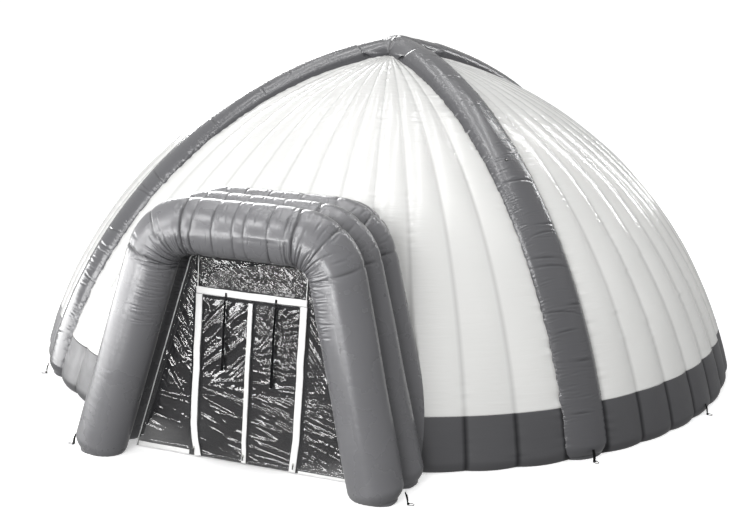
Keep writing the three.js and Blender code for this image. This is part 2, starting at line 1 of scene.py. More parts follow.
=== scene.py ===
"""Looks of the inflatable dome tent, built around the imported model. Metres, +Z up.

Every skin is a grid of points on its inflated form, pushed along its own normals by the
gathers, seams and creases of welded coated fabric. Azimuths are measured from -Y, the
way the tunnel faces, and grow towards +X.
"""

import json
import math

import bpy
import numpy as np
from mathutils import Matrix, Vector

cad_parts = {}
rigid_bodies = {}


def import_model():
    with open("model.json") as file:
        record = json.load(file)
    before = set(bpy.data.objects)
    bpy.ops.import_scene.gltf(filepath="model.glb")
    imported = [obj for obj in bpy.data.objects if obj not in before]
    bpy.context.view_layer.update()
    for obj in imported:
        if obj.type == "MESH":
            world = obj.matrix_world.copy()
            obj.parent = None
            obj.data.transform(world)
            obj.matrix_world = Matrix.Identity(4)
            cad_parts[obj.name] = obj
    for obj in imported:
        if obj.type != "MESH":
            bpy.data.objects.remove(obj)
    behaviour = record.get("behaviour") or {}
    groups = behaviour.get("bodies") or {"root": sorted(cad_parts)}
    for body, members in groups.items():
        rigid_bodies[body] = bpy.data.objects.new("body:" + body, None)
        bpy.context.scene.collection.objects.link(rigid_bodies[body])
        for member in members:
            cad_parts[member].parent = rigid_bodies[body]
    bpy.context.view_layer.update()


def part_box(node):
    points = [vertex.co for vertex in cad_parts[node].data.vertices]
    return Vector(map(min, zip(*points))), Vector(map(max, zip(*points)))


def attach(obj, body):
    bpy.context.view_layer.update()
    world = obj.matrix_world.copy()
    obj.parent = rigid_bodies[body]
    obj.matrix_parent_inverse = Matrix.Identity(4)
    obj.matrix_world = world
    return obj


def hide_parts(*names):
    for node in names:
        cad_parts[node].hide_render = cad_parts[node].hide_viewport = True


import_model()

# ---- dimensions that part.mjs also holds ---------------------------------------------------
WALL_RADIUS, WALL_HEIGHT, WALL_LEAN = 5.197, 4.51, 0.254
LINER_RADIUS, LINER_HEIGHT = 4.765, 4.21
BAND_TOP = 0.647
FRONT_AZIMUTH, REAR_AZIMUTH = 47.5, 145.0  # of the beams
BEAM_RADIUS, BEAM_HEIGHT = 5.03, 4.49
BEAM_HALF_WIDTH, BEAM_HALF_DEPTH, BEAM_TAPER = 0.36, 0.228, 0.17
CROWN_REACH = 0.65
ARCH_FRONT_Y, ARCH_PITCH, ARCH_LEAN = -5.6, 0.54, 0.102
ARCH_SHOULDER_X, ARCH_HEIGHT, ARCH_BEND, ARCH_DROP = 1.054, 2.849, 0.52, 0.034
ARCH_HALF_WIDTH, ARCH_HALF_DEPTH = 0.33, 0.268
ARCHES = [  # y at the ground, foot x, half size across and in the arch's plane
    (ARCH_FRONT_Y, 1.793, ARCH_HALF_DEPTH, ARCH_HALF_WIDTH),
    (ARCH_FRONT_Y + ARCH_PITCH, 1.86, ARCH_HALF_DEPTH, ARCH_HALF_WIDTH),
    (ARCH_FRONT_Y + 2 * ARCH_PITCH, 1.87, ARCH_HALF_DEPTH, ARCH_HALF_WIDTH),
    (ARCH_FRONT_Y + 2 * ARCH_PITCH + 0.41, 1.8, 0.145, 0.265),
]
LAST_ARCH_HEIGHT = ARCH_HEIGHT - 3 * ARCH_DROP
FILM_Y = ARCH_FRONT_Y + ARCH_PITCH / 2
FILM_TILT = math.atan(ARCH_LEAN)
FILM_FOOT_X, FILM_TOP_X, FILM_TOP, FILM_BOTTOM = 1.44, 0.8, 2.47, 0.014
DOOR_HALF_WIDTH, DOOR_HEIGHT = 0.622, 1.997
LEAVES = (("left", -0.618, 0.026), ("right", 0.03, 0.618))  # side, left edge, right edge
LEAF_BOTTOM, LEAF_TOP = 0.018, 1.985
TAPE_WIDTH, FLAP_WIDTH = 0.084, 0.055
STRAPS = (("left", -0.318, 0.84), ("right", 0.322, 0.96))  # side, x, length
STRAP_WIDTH, STRAP_TOP = 0.026, 1.955

# ---- numbers for the looks -----------------------------------------------------------------
BEAM_EDGE = 0.325  # half width of a beam that shows between its two gores, at the ground
FRONT_RIBS, SIDE_RIBS, REAR_RIBS = 12, 13, 9
RIB_POINTS = 12
RIB_SAG = 0.065  # how far a rib stands out, as a share of its width
PUCKER = 0.0055  # depth of the gathers along a rib's seams
RIB_CREASE, RIB_SWAY, BEAM_PINCH = 0.0022, 0.007, 0.007  # depths of a rib's other relief
FILM_CREASE = 1.6  # how deep the film's creases are
LAST_ARCH_END = 2.2  # the last arch runs into the wall above this height
FOOT_HEIGHT, FOOT_TUCK = 0.14, 0.085  # every skin rounds under near the ground
GORE_ROWS, LINER_ROWS, BAND_ROWS, CENTRELINE_ROWS = 330, 90, 46, 620
GORE_TUCK, LINER_TUCK = 0.16, 0.3  # how far a sheet runs on under each beam
FILM_STEP, LEAF_STEP, TAPE_STEP = 0.008, 0.006, 0.012  # spacing of points
GORE_THICKNESS, BAND_THICKNESS, FILM_THICKNESS = 0.003, 0.005, 0.0008
TAPE_THICKNESS, WEB_THICKNESS = 0.0025, 0.0018
WALL_SEED, LINER_SEED, BEAM_SEED, WELD_SEED, BEND_SEED, ARCH_SEED = 20, 40, 60, 200, 230, 300
UP = np.array([0, 0, 1.0])


# ---- small helpers -------------------------------------------------------------------------
def lattice(ix, iy, seed):
    h = (ix.astype(np.int64) * 374761393 + iy.astype(np.int64) * 668265263 + seed * 974634777) & 0xFFFFFFFF
    h = ((h ^ (h >> 13)) * 1274126177) & 0xFFFFFFFF
    return ((h ^ (h >> 16)) & 0xFFFF) / 32767.5 - 1.0


def noise(x, y, seed=0):
    """Smooth value noise from -1 to 1, one cell per unit."""
    x, y = np.broadcast_arrays(np.asarray(x, float), np.asarray(y, float))
    ix, iy = np.floor(x), np.floor(y)
    fx, fy = x - ix, y - iy
    fx, fy = fx * fx * (3 - 2 * fx), fy * fy * (3 - 2 * fy)
    low = lattice(ix, iy, seed) * (1 - fx) + lattice(ix + 1, iy, seed) * fx
    high = lattice(ix, iy + 1, seed) * (1 - fx) + lattice(ix + 1, iy + 1, seed) * fx
    return low * (1 - fy) + high * fy


def ridge_noise(x, y, seed):
    """Noise with sharp valleys, from -1 to 1."""
    return 2 * np.abs(noise(x, y, seed)) ** 0.7 - 0.9


def bell(x, width):
    return np.exp(-((x / width) ** 2))


def clipped(x):
    return np.clip(x, 0, 1)


def unit(v):
    return v / np.linalg.norm(v, axis=-1, keepdims=True)


def paired(a, b):
    return np.stack(np.broadcast_arrays(a, b), -1)


def full_turn(sides):
    return np.linspace(0, 2 * np.pi, sides, endpoint=False)


def heading(azimuth):
    a = math.radians(azimuth)
    return np.array([math.sin(a), -math.cos(a), 0.0])


def run_length(points):
    """How far along a line each of its points lies."""
    return np.concatenate([[0], np.cumsum(np.linalg.norm(np.diff(points, axis=0), axis=1))])


def fine_line(points, step):
    points = np.asarray(points, float)
    length = run_length(points)
    s = np.linspace(0, length[-1], max(int(length[-1] / step), 3))
    return np.stack([np.interp(s, length, column) for column in points.T], -1)


# ---- grids and meshes ----------------------------------------------------------------------
def grid_normals(points, wrap=False):
    """Unit normals of a grid, rows by columns, with columns joined end to end if wrap."""
    down = np.gradient(points, axis=0)
    if wrap:
        across = (np.roll(points, -1, 1) - np.roll(points, 1, 1)) / 2
    else:
        across = np.gradient(points, axis=1)
    normal = np.cross(across, down)
    return normal / np.maximum(np.linalg.norm(normal, axis=2, keepdims=True), 1e-9)


def pushed(points, by, wrap=False):
    return points + grid_normals(points, wrap) * np.asarray(by)[..., None]


def grid_faces(rows, columns, wrap=False):
    last = columns if wrap else columns - 1
    i, j = np.meshgrid(np.arange(rows - 1), np.arange(last), indexing="ij")
    here, there = i * columns, (j + 1) % columns
    return np.stack([here + j, here + there, here + columns + there, here + columns + j], -1).reshape(-1, 4)


def make_mesh(name, points, faces, uv=None, shade=None):
    """A smooth mesh object from flat arrays. uv is one pair per point in metres, and shade one number per
    point that the fabric materials read as how dark the fabric is there: its welds, and painted shade in
    creases and valleys."""
    mesh = bpy.data.meshes.new(name)
    points = np.asarray(points, np.float32).reshape(-1, 3)
    faces = np.asarray(faces, np.int32)
    sides = faces.shape[1]
    mesh.vertices.add(len(points))
    mesh.vertices.foreach_set("co", points.ravel())
    mesh.loops.add(faces.size)
    mesh.loops.foreach_set("vertex_index", faces.ravel())
    mesh.polygons.add(len(faces))
    mesh.polygons.foreach_set("loop_start", np.arange(0, faces.size, sides, dtype=np.int32))
    mesh.polygons.foreach_set("loop_total", np.full(len(faces), sides, np.int32))
    mesh.update()
    mesh.validate()
    if uv is not None:
        layer = mesh.uv_layers.new(name="metres")
        flat = np.asarray(uv, np.float32).reshape(-1, 2)[faces.ravel()]
        layer.data.foreach_set("uv", flat.ravel())
    if shade is not None:
        attribute = mesh.attributes.new("seam", "FLOAT", "POINT")
        attribute.data.foreach_set("value", np.asarray(shade, np.float32).ravel())
    mesh.shade_smooth()
    obj = bpy.data.objects.new(name, mesh)
    bpy.context.scene.collection.objects.link(obj)
    return obj


def skin_mesh(name, points, faces, gone, *layers):
    """A mesh of the faces that aren't gone, and of the points that they use."""
    faces = faces[~gone]
    used = np.unique(faces)
    index = np.full(len(points), -1)
    index[used] = np.arange(len(used))
    return make_mesh(name, points[used], index[faces], *[layer[used] for layer in layers])


def thicken(obj, thickness, offset=-1.0):
    solid = obj.modifiers.new("thickness", "SOLIDIFY")
    solid.thickness = thickness
    solid.offset = offset
    return obj


def dress(obj, look, body, *nodes):
    """Gives a piece its material, the body it rides on and the nodes it replaces."""
    material, slot = look
    obj.data.materials.append(material)
    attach(obj, body)
    if nodes:
        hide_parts(*nodes)
    return obj


# ---- materials -----------------------------------------------------------------------------
def plug(tree, made, inputs):
    for key, value in inputs.items():
        if isinstance(value, bpy.types.NodeSocket):
            tree.links.new(value, made.inputs[key])
        else:
            made.inputs[key].default_value = value


def node(tree, kind, inputs, **settings):
    made = tree.nodes.new("ShaderNode" + kind)
    for key, value in settings.items():
        setattr(made, key, value)
    plug(tree, made, inputs)
    return made


class Look:
    """A material, and short names for the nodes that the looks are made of."""

    def __init__(self, name):
        self.material = bpy.data.materials.new(name)
        self.material.use_nodes = True
        self.tree = self.material.node_tree
        self.place = node(self.tree, "TexCoord", {}).outputs

    def noise(self, scale, detail, space="Object", **more):
        inputs = {"Vector": self.place[space], "Scale": scale, "Detail": detail}
        return node(self.tree, "TexNoise", inputs | more).outputs["Fac"]

    def seam(self):
        return node(self.tree, "Attribute", {}, attribute_name="seam").outputs["Fac"]

    def wave(self, scale):
        inputs = {"Vector": self.place["UV"], "Scale": scale}
        return node(self.tree, "TexWave", inputs, bands_direction="Y").outputs["Fac"]

    def blend(self, factor, low, high):
        """From one colour to the other. Either may be a socket."""
        low, high = (c if isinstance(c, bpy.types.NodeSocket) else (*c, 1.0) for c in (low, high))
        inputs = {"Factor": factor, 6: low, 7: high}
        return node(self.tree, "Mix", inputs, data_type="RGBA").outputs[2]

    def spread(self, value, start, end, low, high):
        """Brings a value's range from start to end to that from low to high."""
        inputs = {"Value": value, "From Min": start, "From Max": end, "To Min": low, "To Max": high}
        return node(self.tree, "MapRange", inputs).outputs[0]

    def product(self, a, b):
        return node(self.tree, "Math", {0: a, 1: b}, operation="MULTIPLY").outputs[0]

    def bump(self, height, strength, distance, **more):
        inputs = {"Height": height, "Strength": strength, "Distance": distance}
        return node(self.tree, "Bump", inputs | more).outputs[0]

    def done(self, **inputs):
        """Sets the shader's sockets, named with _ for each space."""
        sockets = {key.replace("_", " "): value for key, value in inputs.items()}
        plug(self.tree, self.tree.nodes["Principled BSDF"], sockets)
        return self.material


def tones(colour, low, high):
    return [c * low for c in colour], [min(c * high, 1.0) for c in colour]


def coated_fabric(name, colour, weld_and_shade_colour, roughness, ior, creases):
    """Glossy coated fabric: faint cloudiness, darker welds and painted shade in the creases and valleys that
    the mesh's seam value marks, fine puckers and a trace of weave.
    """
    look = Look(name)
    cloudy = look.blend(look.noise(0.9, 3.0), *tones(colour, 0.93, 1.05))
    long = node(look.tree, "Mapping", {"Vector": look.place["UV"], "Scale": (2.2, 17.0, 1.0)})
    ripple = look.noise(1.0, 2.0, Vector=long.outputs[0], Distortion=0.4)
    bump = look.bump(ripple, creases, 0.02)
    return look.done(
        Base_Color=look.blend(look.seam(), cloudy, weld_and_shade_colour),
        Roughness=look.spread(look.noise(2.6, 4.0), 0.3, 0.7, roughness * 0.8, roughness * 1.25),
        Normal=look.bump(look.noise(900.0, 1.0, "UV"), 0.04, 0.001, Normal=bump),
        IOR=ior,
    )


def film_material():
    look = Look("clear_creased_film")
    # The near-black base colour is a painted shade: it stands for the dim inside of the tent seen through the
    # clear film.
    painted_shade_cloud = look.noise(2.4, 5.0)
    return look.done(
        Base_Color=look.blend(painted_shade_cloud, (0.008, 0.008, 0.009), (0.05, 0.05, 0.054)),
        Roughness=look.spread(painted_shade_cloud, 0.3, 0.7, 0.05, 0.1),
        Normal=look.bump(look.noise(30.0, 3.0), 0.08, 0.004),
        Specular_IOR_Level=0.75,
        IOR=1.55,
        Alpha=0.55,
    )


def woven_tape(name, colour, dark_thread_and_crease_shade, roughness, sheen):
    """Tape with fine cross ribs, and two rows of stitching where the seam value is high."""
    look = Look(name)
    weave = look.bump(look.wave(160.0), 0.3, 0.0006)
    thread = look.product(look.seam(), look.wave(45.0))
    cloud = look.noise(7.0, 3.0)
    base = look.blend(cloud, *tones(colour, 0.9, 1.06))
    return look.done(
        Base_Color=look.blend(thread, base, dark_thread_and_crease_shade),
        Roughness=look.spread(cloud, 0.0, 1.0, roughness * 0.85, roughness * 1.15),
        Normal=look.bump(thread, 0.6, 0.001, Normal=weave),
        Specular_IOR_Level=sheen,
    )


def hard_material(name, colour, roughness, metallic):
    look = Look(name)
    speck = look.noise(60.0, 4.0)
    return look.done(
        Base_Color=look.blend(speck, *tones(colour, 0.8, 1.2)),
        Roughness=look.spread(speck, 0.0, 1.0, roughness * 0.7, roughness * 1.3),
        Normal=look.bump(speck, 0.15, 0.0005),
        Metallic=metallic,
    )


# Each look is a material and its slot.
FABRICS = [  # material, slot, colour, colour in the seams and in painted crease shade, roughness, IOR, creases
    ("white_coated_fabric", "gore_pvc", (0.77, 0.77, 0.755), (0.6, 0.6, 0.59), 0.16, 1.4, 0.2),
    ("beam_grey_fabric", "beam_pvc", (0.1, 0.1, 0.107), (0.025, 0.025, 0.028), 0.21, 1.6, 0.14),
    ("arch_grey_fabric", "arch_pvc", (0.15, 0.15, 0.158), (0.02, 0.02, 0.022), 0.28, 1.6, 0.09),
    ("band_grey_fabric", "band_pvc", (0.085, 0.085, 0.09), (0.012, 0.012, 0.014), 0.4, 1.5, 0.09),
    # The liner's near-black colour is a painted shade for the dim inside of the tent that shows through the
    # film.
    ("liner_grey_fabric", "liner_pvc", (0.03, 0.03, 0.033), (0.02, 0.02, 0.022), 0.55, 1.45, 0.09),
]
WHITE, BEAM_GREY, ARCH_GREY, BAND_GREY, LINER_GREY = (
    (coated_fabric(name, *numbers), slot) for name, slot, *numbers in FABRICS
)
FILM = film_material(), "clear_film"
TAPE = woven_tape("white_zip_tape", (0.86, 0.86, 0.85), (0.5, 0.5, 0.5), 0.45, 0.5), "white_tape"
BLACK, BLACK_THREAD = (0.006, 0.006, 0.0065), (0.015, 0.015, 0.015)
WEBBING = woven_tape("black_webbing", BLACK, BLACK_THREAD, 0.8, 0.12), "black_webbing"
ZIP_METAL = hard_material("zip_metal", (0.62, 0.62, 0.6), 0.3, 1.0)
RING_STEEL = hard_material("ring_steel", (0.1, 0.1, 0.105), 0.35, 1.0), "ring_steel"
VALVE_BLACK = hard_material("valve_black", (0.02, 0.02, 0.021), 0.4, 0.0), "valve_black"
VALVE_LIGHT = hard_material("valve_light", (0.6, 0.6, 0.58), 0.35, 0.0), "valve_light"


# ---- gores, bands and liner ----------------------------------------------------------------
class DomeArc:
    """The circular arc that leans inwards at the ground and meets the axis at its height."""

    def __init__(self, radius, height):
        lean = math.cos(WALL_LEAN) * radius - math.sin(WALL_LEAN) * height
        self.bend = (radius**2 + height**2) / (2 * lean)
        self.x = radius - self.bend * math.cos(WALL_LEAN)
        self.z = -self.bend * math.sin(WALL_LEAN)

    def at_height(self, z):
        return math.asin((z - self.z) / self.bend)

    def at_radius(self, r):
        return math.acos((r - self.x) / self.bend)

    def point(self, angle):
        return self.x + self.bend * np.cos(angle), self.z + self.bend * np.sin(angle)


wall = DomeArc(WALL_RADIUS, WALL_HEIGHT)
liner = DomeArc(LINER_RADIUS, LINER_HEIGHT)
beam_arc = DomeArc(BEAM_RADIUS, BEAM_HEIGHT)
SECTORS = [  # side, first and last azimuth, ribs
    ("front", -FRONT_AZIMUTH, FRONT_AZIMUTH, FRONT_RIBS),
    ("right", FRONT_AZIMUTH, REAR_AZIMUTH, SIDE_RIBS),
    ("rear", REAR_AZIMUTH, 360 - REAR_AZIMUTH, REAR_RIBS),
    ("left", -REAR_AZIMUTH, -FRONT_AZIMUTH, SIDE_RIBS),
]


def wall_grid(arc, first, last, rows, start, end, ribs, tuck):
    """Points between two beams from one arc angle to another. Columns count in ribs. tuck is
    how far the sheet runs on under each beam."""
    angle = np.linspace(first, last, rows)
    r, z = arc.point(angle)
    beam_edge = BEAM_EDGE * (1 - BEAM_TAPER * z / BEAM_HEIGHT)
    edge = np.degrees(np.arcsin(np.minimum(beam_edge / r, 0.999)))
    low, high = start + edge, end - edge
    hidden = np.linspace(-1, 0, 3)[:-1]
    inner = np.linspace(0, ribs, ribs * RIB_POINTS + 1)
    column = np.concatenate([hidden, inner, ribs - hidden[::-1]])
    share = np.clip(column, 0, ribs) / ribs
    azimuth = low[:, None] + (high - low)[:, None] * share
    run_on = np.degrees(tuck / r)[:, None]
    azimuth = azimuth + run_on * (np.minimum(column, 0) + np.maximum(column - ribs, 0))
    a = np.radians(azimuth)
    z = np.broadcast_to(z[:, None], a.shape)
    points = np.stack([r[:, None] * np.sin(a), -r[:, None] * np.cos(a), z], -1)
    length = arc.bend * (angle - first)
    rib_width = r * np.radians(high - low) / ribs
    return points, column, length, rib_width


def wall_relief(column, length, rib_width, ribs, seed):
    """How far each point of a ribbed wall stands out from the arc, and how deep in a seam it is."""
    inside = np.clip(column, 0, ribs)
    across = inside - np.floor(inside)
    across = np.where(inside >= ribs, 1.0, across)
    s, width = length[:, None], rib_width[:, None]
    rib = np.floor(np.minimum(inside, ribs - 1e-6))
    seam_id = np.round(inside)
    dome = 4 * across * (1 - across)
    near = np.minimum(across, 1 - across) * width
    relief = RIB_SAG * width * (dome**0.85 - 1)
    gather = noise(s / 0.05, seam_id * 7.3 + 0.5, seed) + 0.6 * noise(s / 0.11, seam_id * 3.3, seed + 1)
    patch = clipped(0.45 + noise(s / 0.8, seam_id * 3.1, seed + 5))
    relief = relief + PUCKER * gather * patch * bell(near, 0.075)
    broken = noise(s / 0.16, rib * 5.7 + 0.35 * across, seed + 9)
    broken = broken + 0.5 * noise(s / 0.07, rib * 3.1 + across, seed + 10)
    where = clipped(0.3 + noise(s / 1.3, rib * 2.3, seed + 3))
    sway = noise(s / 0.7, rib * 3.7 + across, seed + 11)
    relief = relief + RIB_CREASE * broken * where * dome + RIB_SWAY * sway * dome
    end = np.minimum(inside, ribs - inside) * width
    at_beam = noise(s / 0.055, np.where(inside < ribs / 2, 0.0, 9.0), seed + 13)
    relief = relief + BEAM_PINCH * at_beam * bell(end, 0.11)
    return relief, bell(near, 0.009)


def in_passage(points, inset=0.03):
    """Whether a point lies inside the middle line of the arches, seen from the front."""
    x, z = np.abs(points[..., 0]), points[..., 2]
    foot = ARCHES[0][1]
    slope = (foot - ARCH_SHOULDER_X) / ARCH_HEIGHT
    below_shoulder = x + z < ARCH_SHOULDER_X + ARCH_HEIGHT - 0.62
    between_legs = x < foot - inset - slope * z
    return between_legs & (z < LAST_ARCH_HEIGHT - inset) & below_shoulder & (points[..., 1] < 0)


def wall_piece(name, arc, span, rows, sector, tuck, seed, cut=None, flat=False, foot=0.0):
    """One sector of the wall between two arc angles, less the faces that touch the cut."""
    _, start, end, ribs = sector
    points, column, length, rib_width = wall_grid(arc, *span, rows, start, end, ribs, tuck)
    length = length + arc.bend * (span[0] - arc.at_height(0.0))
    relief, seam = wall_relief(column, length, rib_width, ribs, seed)
    if flat:
        relief = -0.5 * relief
    if foot:
        relief = relief - FOOT_TUCK * clipped(1 - points[..., 2] / foot) ** 2
    beyond = np.maximum(-column, 0) + np.maximum(column - ribs, 0)
    moved = pushed(points, relief - 0.03 * beyond)
    moved[..., 2] = np.maximum(moved[..., 2], 0.002)
    faces = grid_faces(*moved.shape[:2])
    flat_points = moved.reshape(-1, 3)
    gone = np.zeros(len(faces), bool) if cut is None else cut(flat_points)[faces].any(1)
    uv = paired(column * rib_width[:, None], length[:, None]).reshape(-1, 2)
    seam = np.broadcast_to(seam, relief.shape).reshape(-1)
    return skin_mesh(name, flat_points, faces, gone, uv, seam)


def build_walls():
    for index, sector in enumerate(SECTORS):
        side, start, end, _ = sector
        half = math.radians((end - start) / 2)
        tip = 1.03 * BEAM_EDGE * (1 - BEAM_TAPER) / math.sin(half)
        cut = in_passage if side == "front" else None
        span = (wall.at_height(BAND_TOP), wall.at_radius(tip))
        skin = (span, GORE_ROWS, sector, GORE_TUCK, WALL_SEED + index, cut)
        gore = wall_piece(f"gore_{side}_skin", wall, *skin)
        dress(thicken(gore, GORE_THICKNESS), WHITE, "root", f"gore_{side}")
        span = (liner.at_height(0.003), liner.at_radius(tip * 0.9))
        lining = (span, LINER_ROWS, sector, LINER_TUCK, LINER_SEED + index, cut)
        inner = wall_piece(f"liner_{side}_skin", liner, *lining, flat=True)
        dress(thicken(inner, GORE_THICKNESS), LINER_GREY, "root", f"liner_{side}")


def build_bands():
    span = (wall.at_height(0.0), wall.at_height(BAND_TOP + 0.004))
    for index, sector in enumerate(SECTORS):
        side = sector[0]
        parts = [(side, None)]
        if side == "front":
            parts = [
                ("front_left", lambda p: in_passage(p) | (p[:, 0] > 0)),
                ("front_right", lambda p: in_passage(p) | (p[:, 0] < 0)),
            ]
        for part, cut in parts:
            name = f"base_band_{part}"
            band = (span, BAND_ROWS, sector, GORE_TUCK, WALL_SEED + index, cut)
            piece = wall_piece(f"{name}_skin", wall, *band, foot=FOOT_HEIGHT)
            dress(thicken(piece, BAND_THICKNESS, 0.0), BAND_GREY, "root", name)


# ---- air tubes -----------------------------------------------------------------------------
BEAM_SIDES, ARCH_SIDES = 84, 96
BEAM_GIRTH = 0.3  # metres of fabric for each radian round a tube
BEAMS = [
    ("front_left", -FRONT_AZIMUTH),
    ("front_right", FRONT_AZIMUTH),
    ("rear_right", REAR_AZIMUTH),
    ("rear_left", -REAR_AZIMUTH),
]


def tube_grid(centre, out, across, half_across, half_out, sides):
    """Rings round a centreline. Column 0 lies to the +across side, a quarter turn is outwards."""
    turn = full_turn(sides)
    c, s = np.cos(turn)[None, :, None], np.sin(turn)[None, :, None]
    half_across = np.broadcast_to(half_across, (len(centre),))[:, None, None]
    half_out = np.broadcast_to(half_out, (len(centre),))[:, None, None]
    points = centre[:, None, :] + across * half_across * c + out[:, None, :] * half_out * s
    return points, turn


def foot_tuck(z):
    return FOOT_TUCK * clipped(1 - np.maximum(z, 0) / FOOT_HEIGHT)[:, None] ** 2


def dents(s, turn, seed, where, count, reach, run, width):
    """Short curved creases across a tube. where is the stretch of its length that they keep to,
    reach the stretch of turn, and run how far each goes round, in metres."""
    rng = np.random.default_rng(seed)
    s = s[:, None]
    total = np.zeros((s.size, turn.size))
    for _ in range(count):
        at, side = rng.uniform(*where), rng.uniform(*reach)
        length, bow, tilt = run * rng.uniform(0.4, 1.2), rng.uniform(-0.5, 0.5), rng.uniform(-0.15, 0.15)
        sharp = width * rng.uniform(0.7, 1.3)
        near = np.abs(s[:, 0] - at) < 0.25
        off = BEAM_GIRTH * ((turn - side + np.pi) % (2 * np.pi) - np.pi)
        line = s[near] - at - bow * off**2 - tilt * off
        crest = 0.5 * bell(line - 2 * sharp, 1.6 * sharp) + 0.3 * bell(line + 2 * sharp, 1.6 * sharp)
        total[near] += (crest - bell(line, sharp)) * bell(off, length)
    return total


def edge_puckers(s, turn, seed, depth):
    """Gathers that run in from the two welds along a beam's sides."""
    sign, edge = np.sign(np.cos(turn)), np.abs(np.cos(turn))
    s = s[:, None]
    fold = ridge_noise(s / 0.07, sign * 4.0 + np.sin(turn) * 0.8, seed)
    fold = fold + 0.5 * ridge_noise(s / 0.034, sign * 7.0, seed + 1)
    patch = np.clip(0.35 + noise(s / 0.75, sign * 3.0, seed + 2), 0.12, 1)
    return depth * fold * patch * clipped((edge - 0.62) / 0.3) ** 1.5


BEAM_DENTS = [  # seed shift, count, stretch of turn, run and width of a crease
    (0, 110, (0.9, 2.3), 0.1, 0.007),  # fine ones on its back
    (3, 170, (0.3, 0.8), 0.07, 0.006),  # near one edge
    (4, 170, (2.35, 2.85), 0.07, 0.006),  # near the other
    (1, 13, (1.2, 2.2), 0.22, 0.013),  # bold ones
]


def beam_relief(s, turn, seed):
    where = (0.4, s[-1] - 0.2)
    fine, near, far, bold = (dents(s, turn, seed + shift, where, *kind) for shift, *kind in BEAM_DENTS)
    relief = 0.0035 * fine + 0.007 * bold + 0.005 * (near + far) + edge_puckers(s, turn, seed + 2, 0.008)
    relief = relief + 0.0035 * noise(s[:, None] / 0.55, turn * BEAM_GIRTH / 0.3, seed + 5)
    weld = 0.35 * bell(np.abs(np.cos(turn)) - 0.93, 0.05)
    # The second value marks the welds along the sides, and darkens the valleys of the bold creases: painted
    # shade.
    return relief, np.clip(0.7 * np.maximum(-bold, 0), 0, 0.8) + weld


def seam_relief(s, turn, seams, seed, depth=0.012):
    """Cross welds: a narrow groove with gathers that run out of it, deeper on some than on others."""
    rng = np.random.default_rng(seed)
    s = s[:, None]
    around = turn * BEAM_GIRTH
    relief, seam = np.zeros((s.size, turn.size)), np.zeros((s.size, turn.size))
    for i, at in enumerate(seams):
        strength = rng.uniform(0.5, 1.0)
        line = s - at - 0.014 * noise(around / 0.22, i * 2.7, seed + 3)
        part = np.clip(0.8 + 0.7 * noise(around / 0.2, i * 5.1, seed + 4), 0.1, 1)
        relief = relief - depth * strength * (part * bell(line, 0.012) + 0.5 * bell(line, 0.05))
        seam = np.maximum(seam, bell(line, 0.009) * strength * part)
        gather = ridge_noise(around / 0.035 + 2.0 * line, i * 3.3 + 6 * line, seed + 1)
        fade = clipped(0.25 + noise(around / 0.25, i, seed + 2))
        relief = relief + 0.007 * strength * gather * bell(np.abs(line) - 0.035, 0.04) * fade
    return relief, seam


def tube_piece(name, points, relief, seam, s, turn, drop=None):
    """A tube's skin, less the faces that lie wholly where drop says."""
    moved = pushed(points, relief, wrap=True)
    moved[..., 2] = np.maximum(moved[..., 2], 0.001)
    rows, columns = moved.shape[:2]
    faces = grid_faces(rows, columns, wrap=True)
    flat = moved.reshape(-1, 3)
    gone = np.zeros(len(faces), bool) if drop is None else drop(flat)[faces].all(1)
    uv = paired(turn * BEAM_GIRTH, s[:, None]).reshape(-1, 2)
    return skin_mesh(name, flat, faces, gone, uv, np.broadcast_to(seam, (rows, columns)).reshape(-1))


def build_beams():
    first, last = beam_arc.at_height(0.0), beam_arc.at_radius(0.0)
    under = [-0.09, -0.06, -0.03]  # rows that run on below the ground
    angle = np.linspace(first, last, CENTRELINE_ROWS)
    r, z = beam_arc.point(angle)
    r, z = np.concatenate([[BEAM_RADIUS] * 3, r]), np.concatenate([under, z])
    s = np.concatenate([under, beam_arc.bend * (angle - first)])
    angle = np.concatenate([[first] * 3, angle])
    for index, (side, azimuth) in enumerate(BEAMS):
        ahead = heading(azimuth)
        centre = r[:, None] * ahead + z[:, None] * UP
        out = np.cos(angle)[:, None] * ahead + np.sin(angle)[:, None] * UP
        across = np.array([ahead[1], -ahead[0], 0.0])
        taper = 1 - BEAM_TAPER * np.maximum(z, 0) / BEAM_HEIGHT
        points, turn = tube_grid(centre, out, across, BEAM_HALF_WIDTH * taper, BEAM_HALF_DEPTH, BEAM_SIDES)
        relief, seam = beam_relief(s, turn, BEAM_SEED + 9 * index)
        under_crown = clipped((CROWN_REACH - r) / 0.02)[:, None]
        calm = clipped((r - CROWN_REACH + 0.03) / 0.25)[:, None]
        relief = relief * calm - foot_tuck(z) - 0.012 * under_crown
        keep = r >= CROWN_REACH - 0.35
        piece = tube_piece(f"beam_{side}_skin", points[keep], relief[keep], seam[keep], s[keep], turn)
        dress(piece, BEAM_GREY, "root", f"beam_{side}")


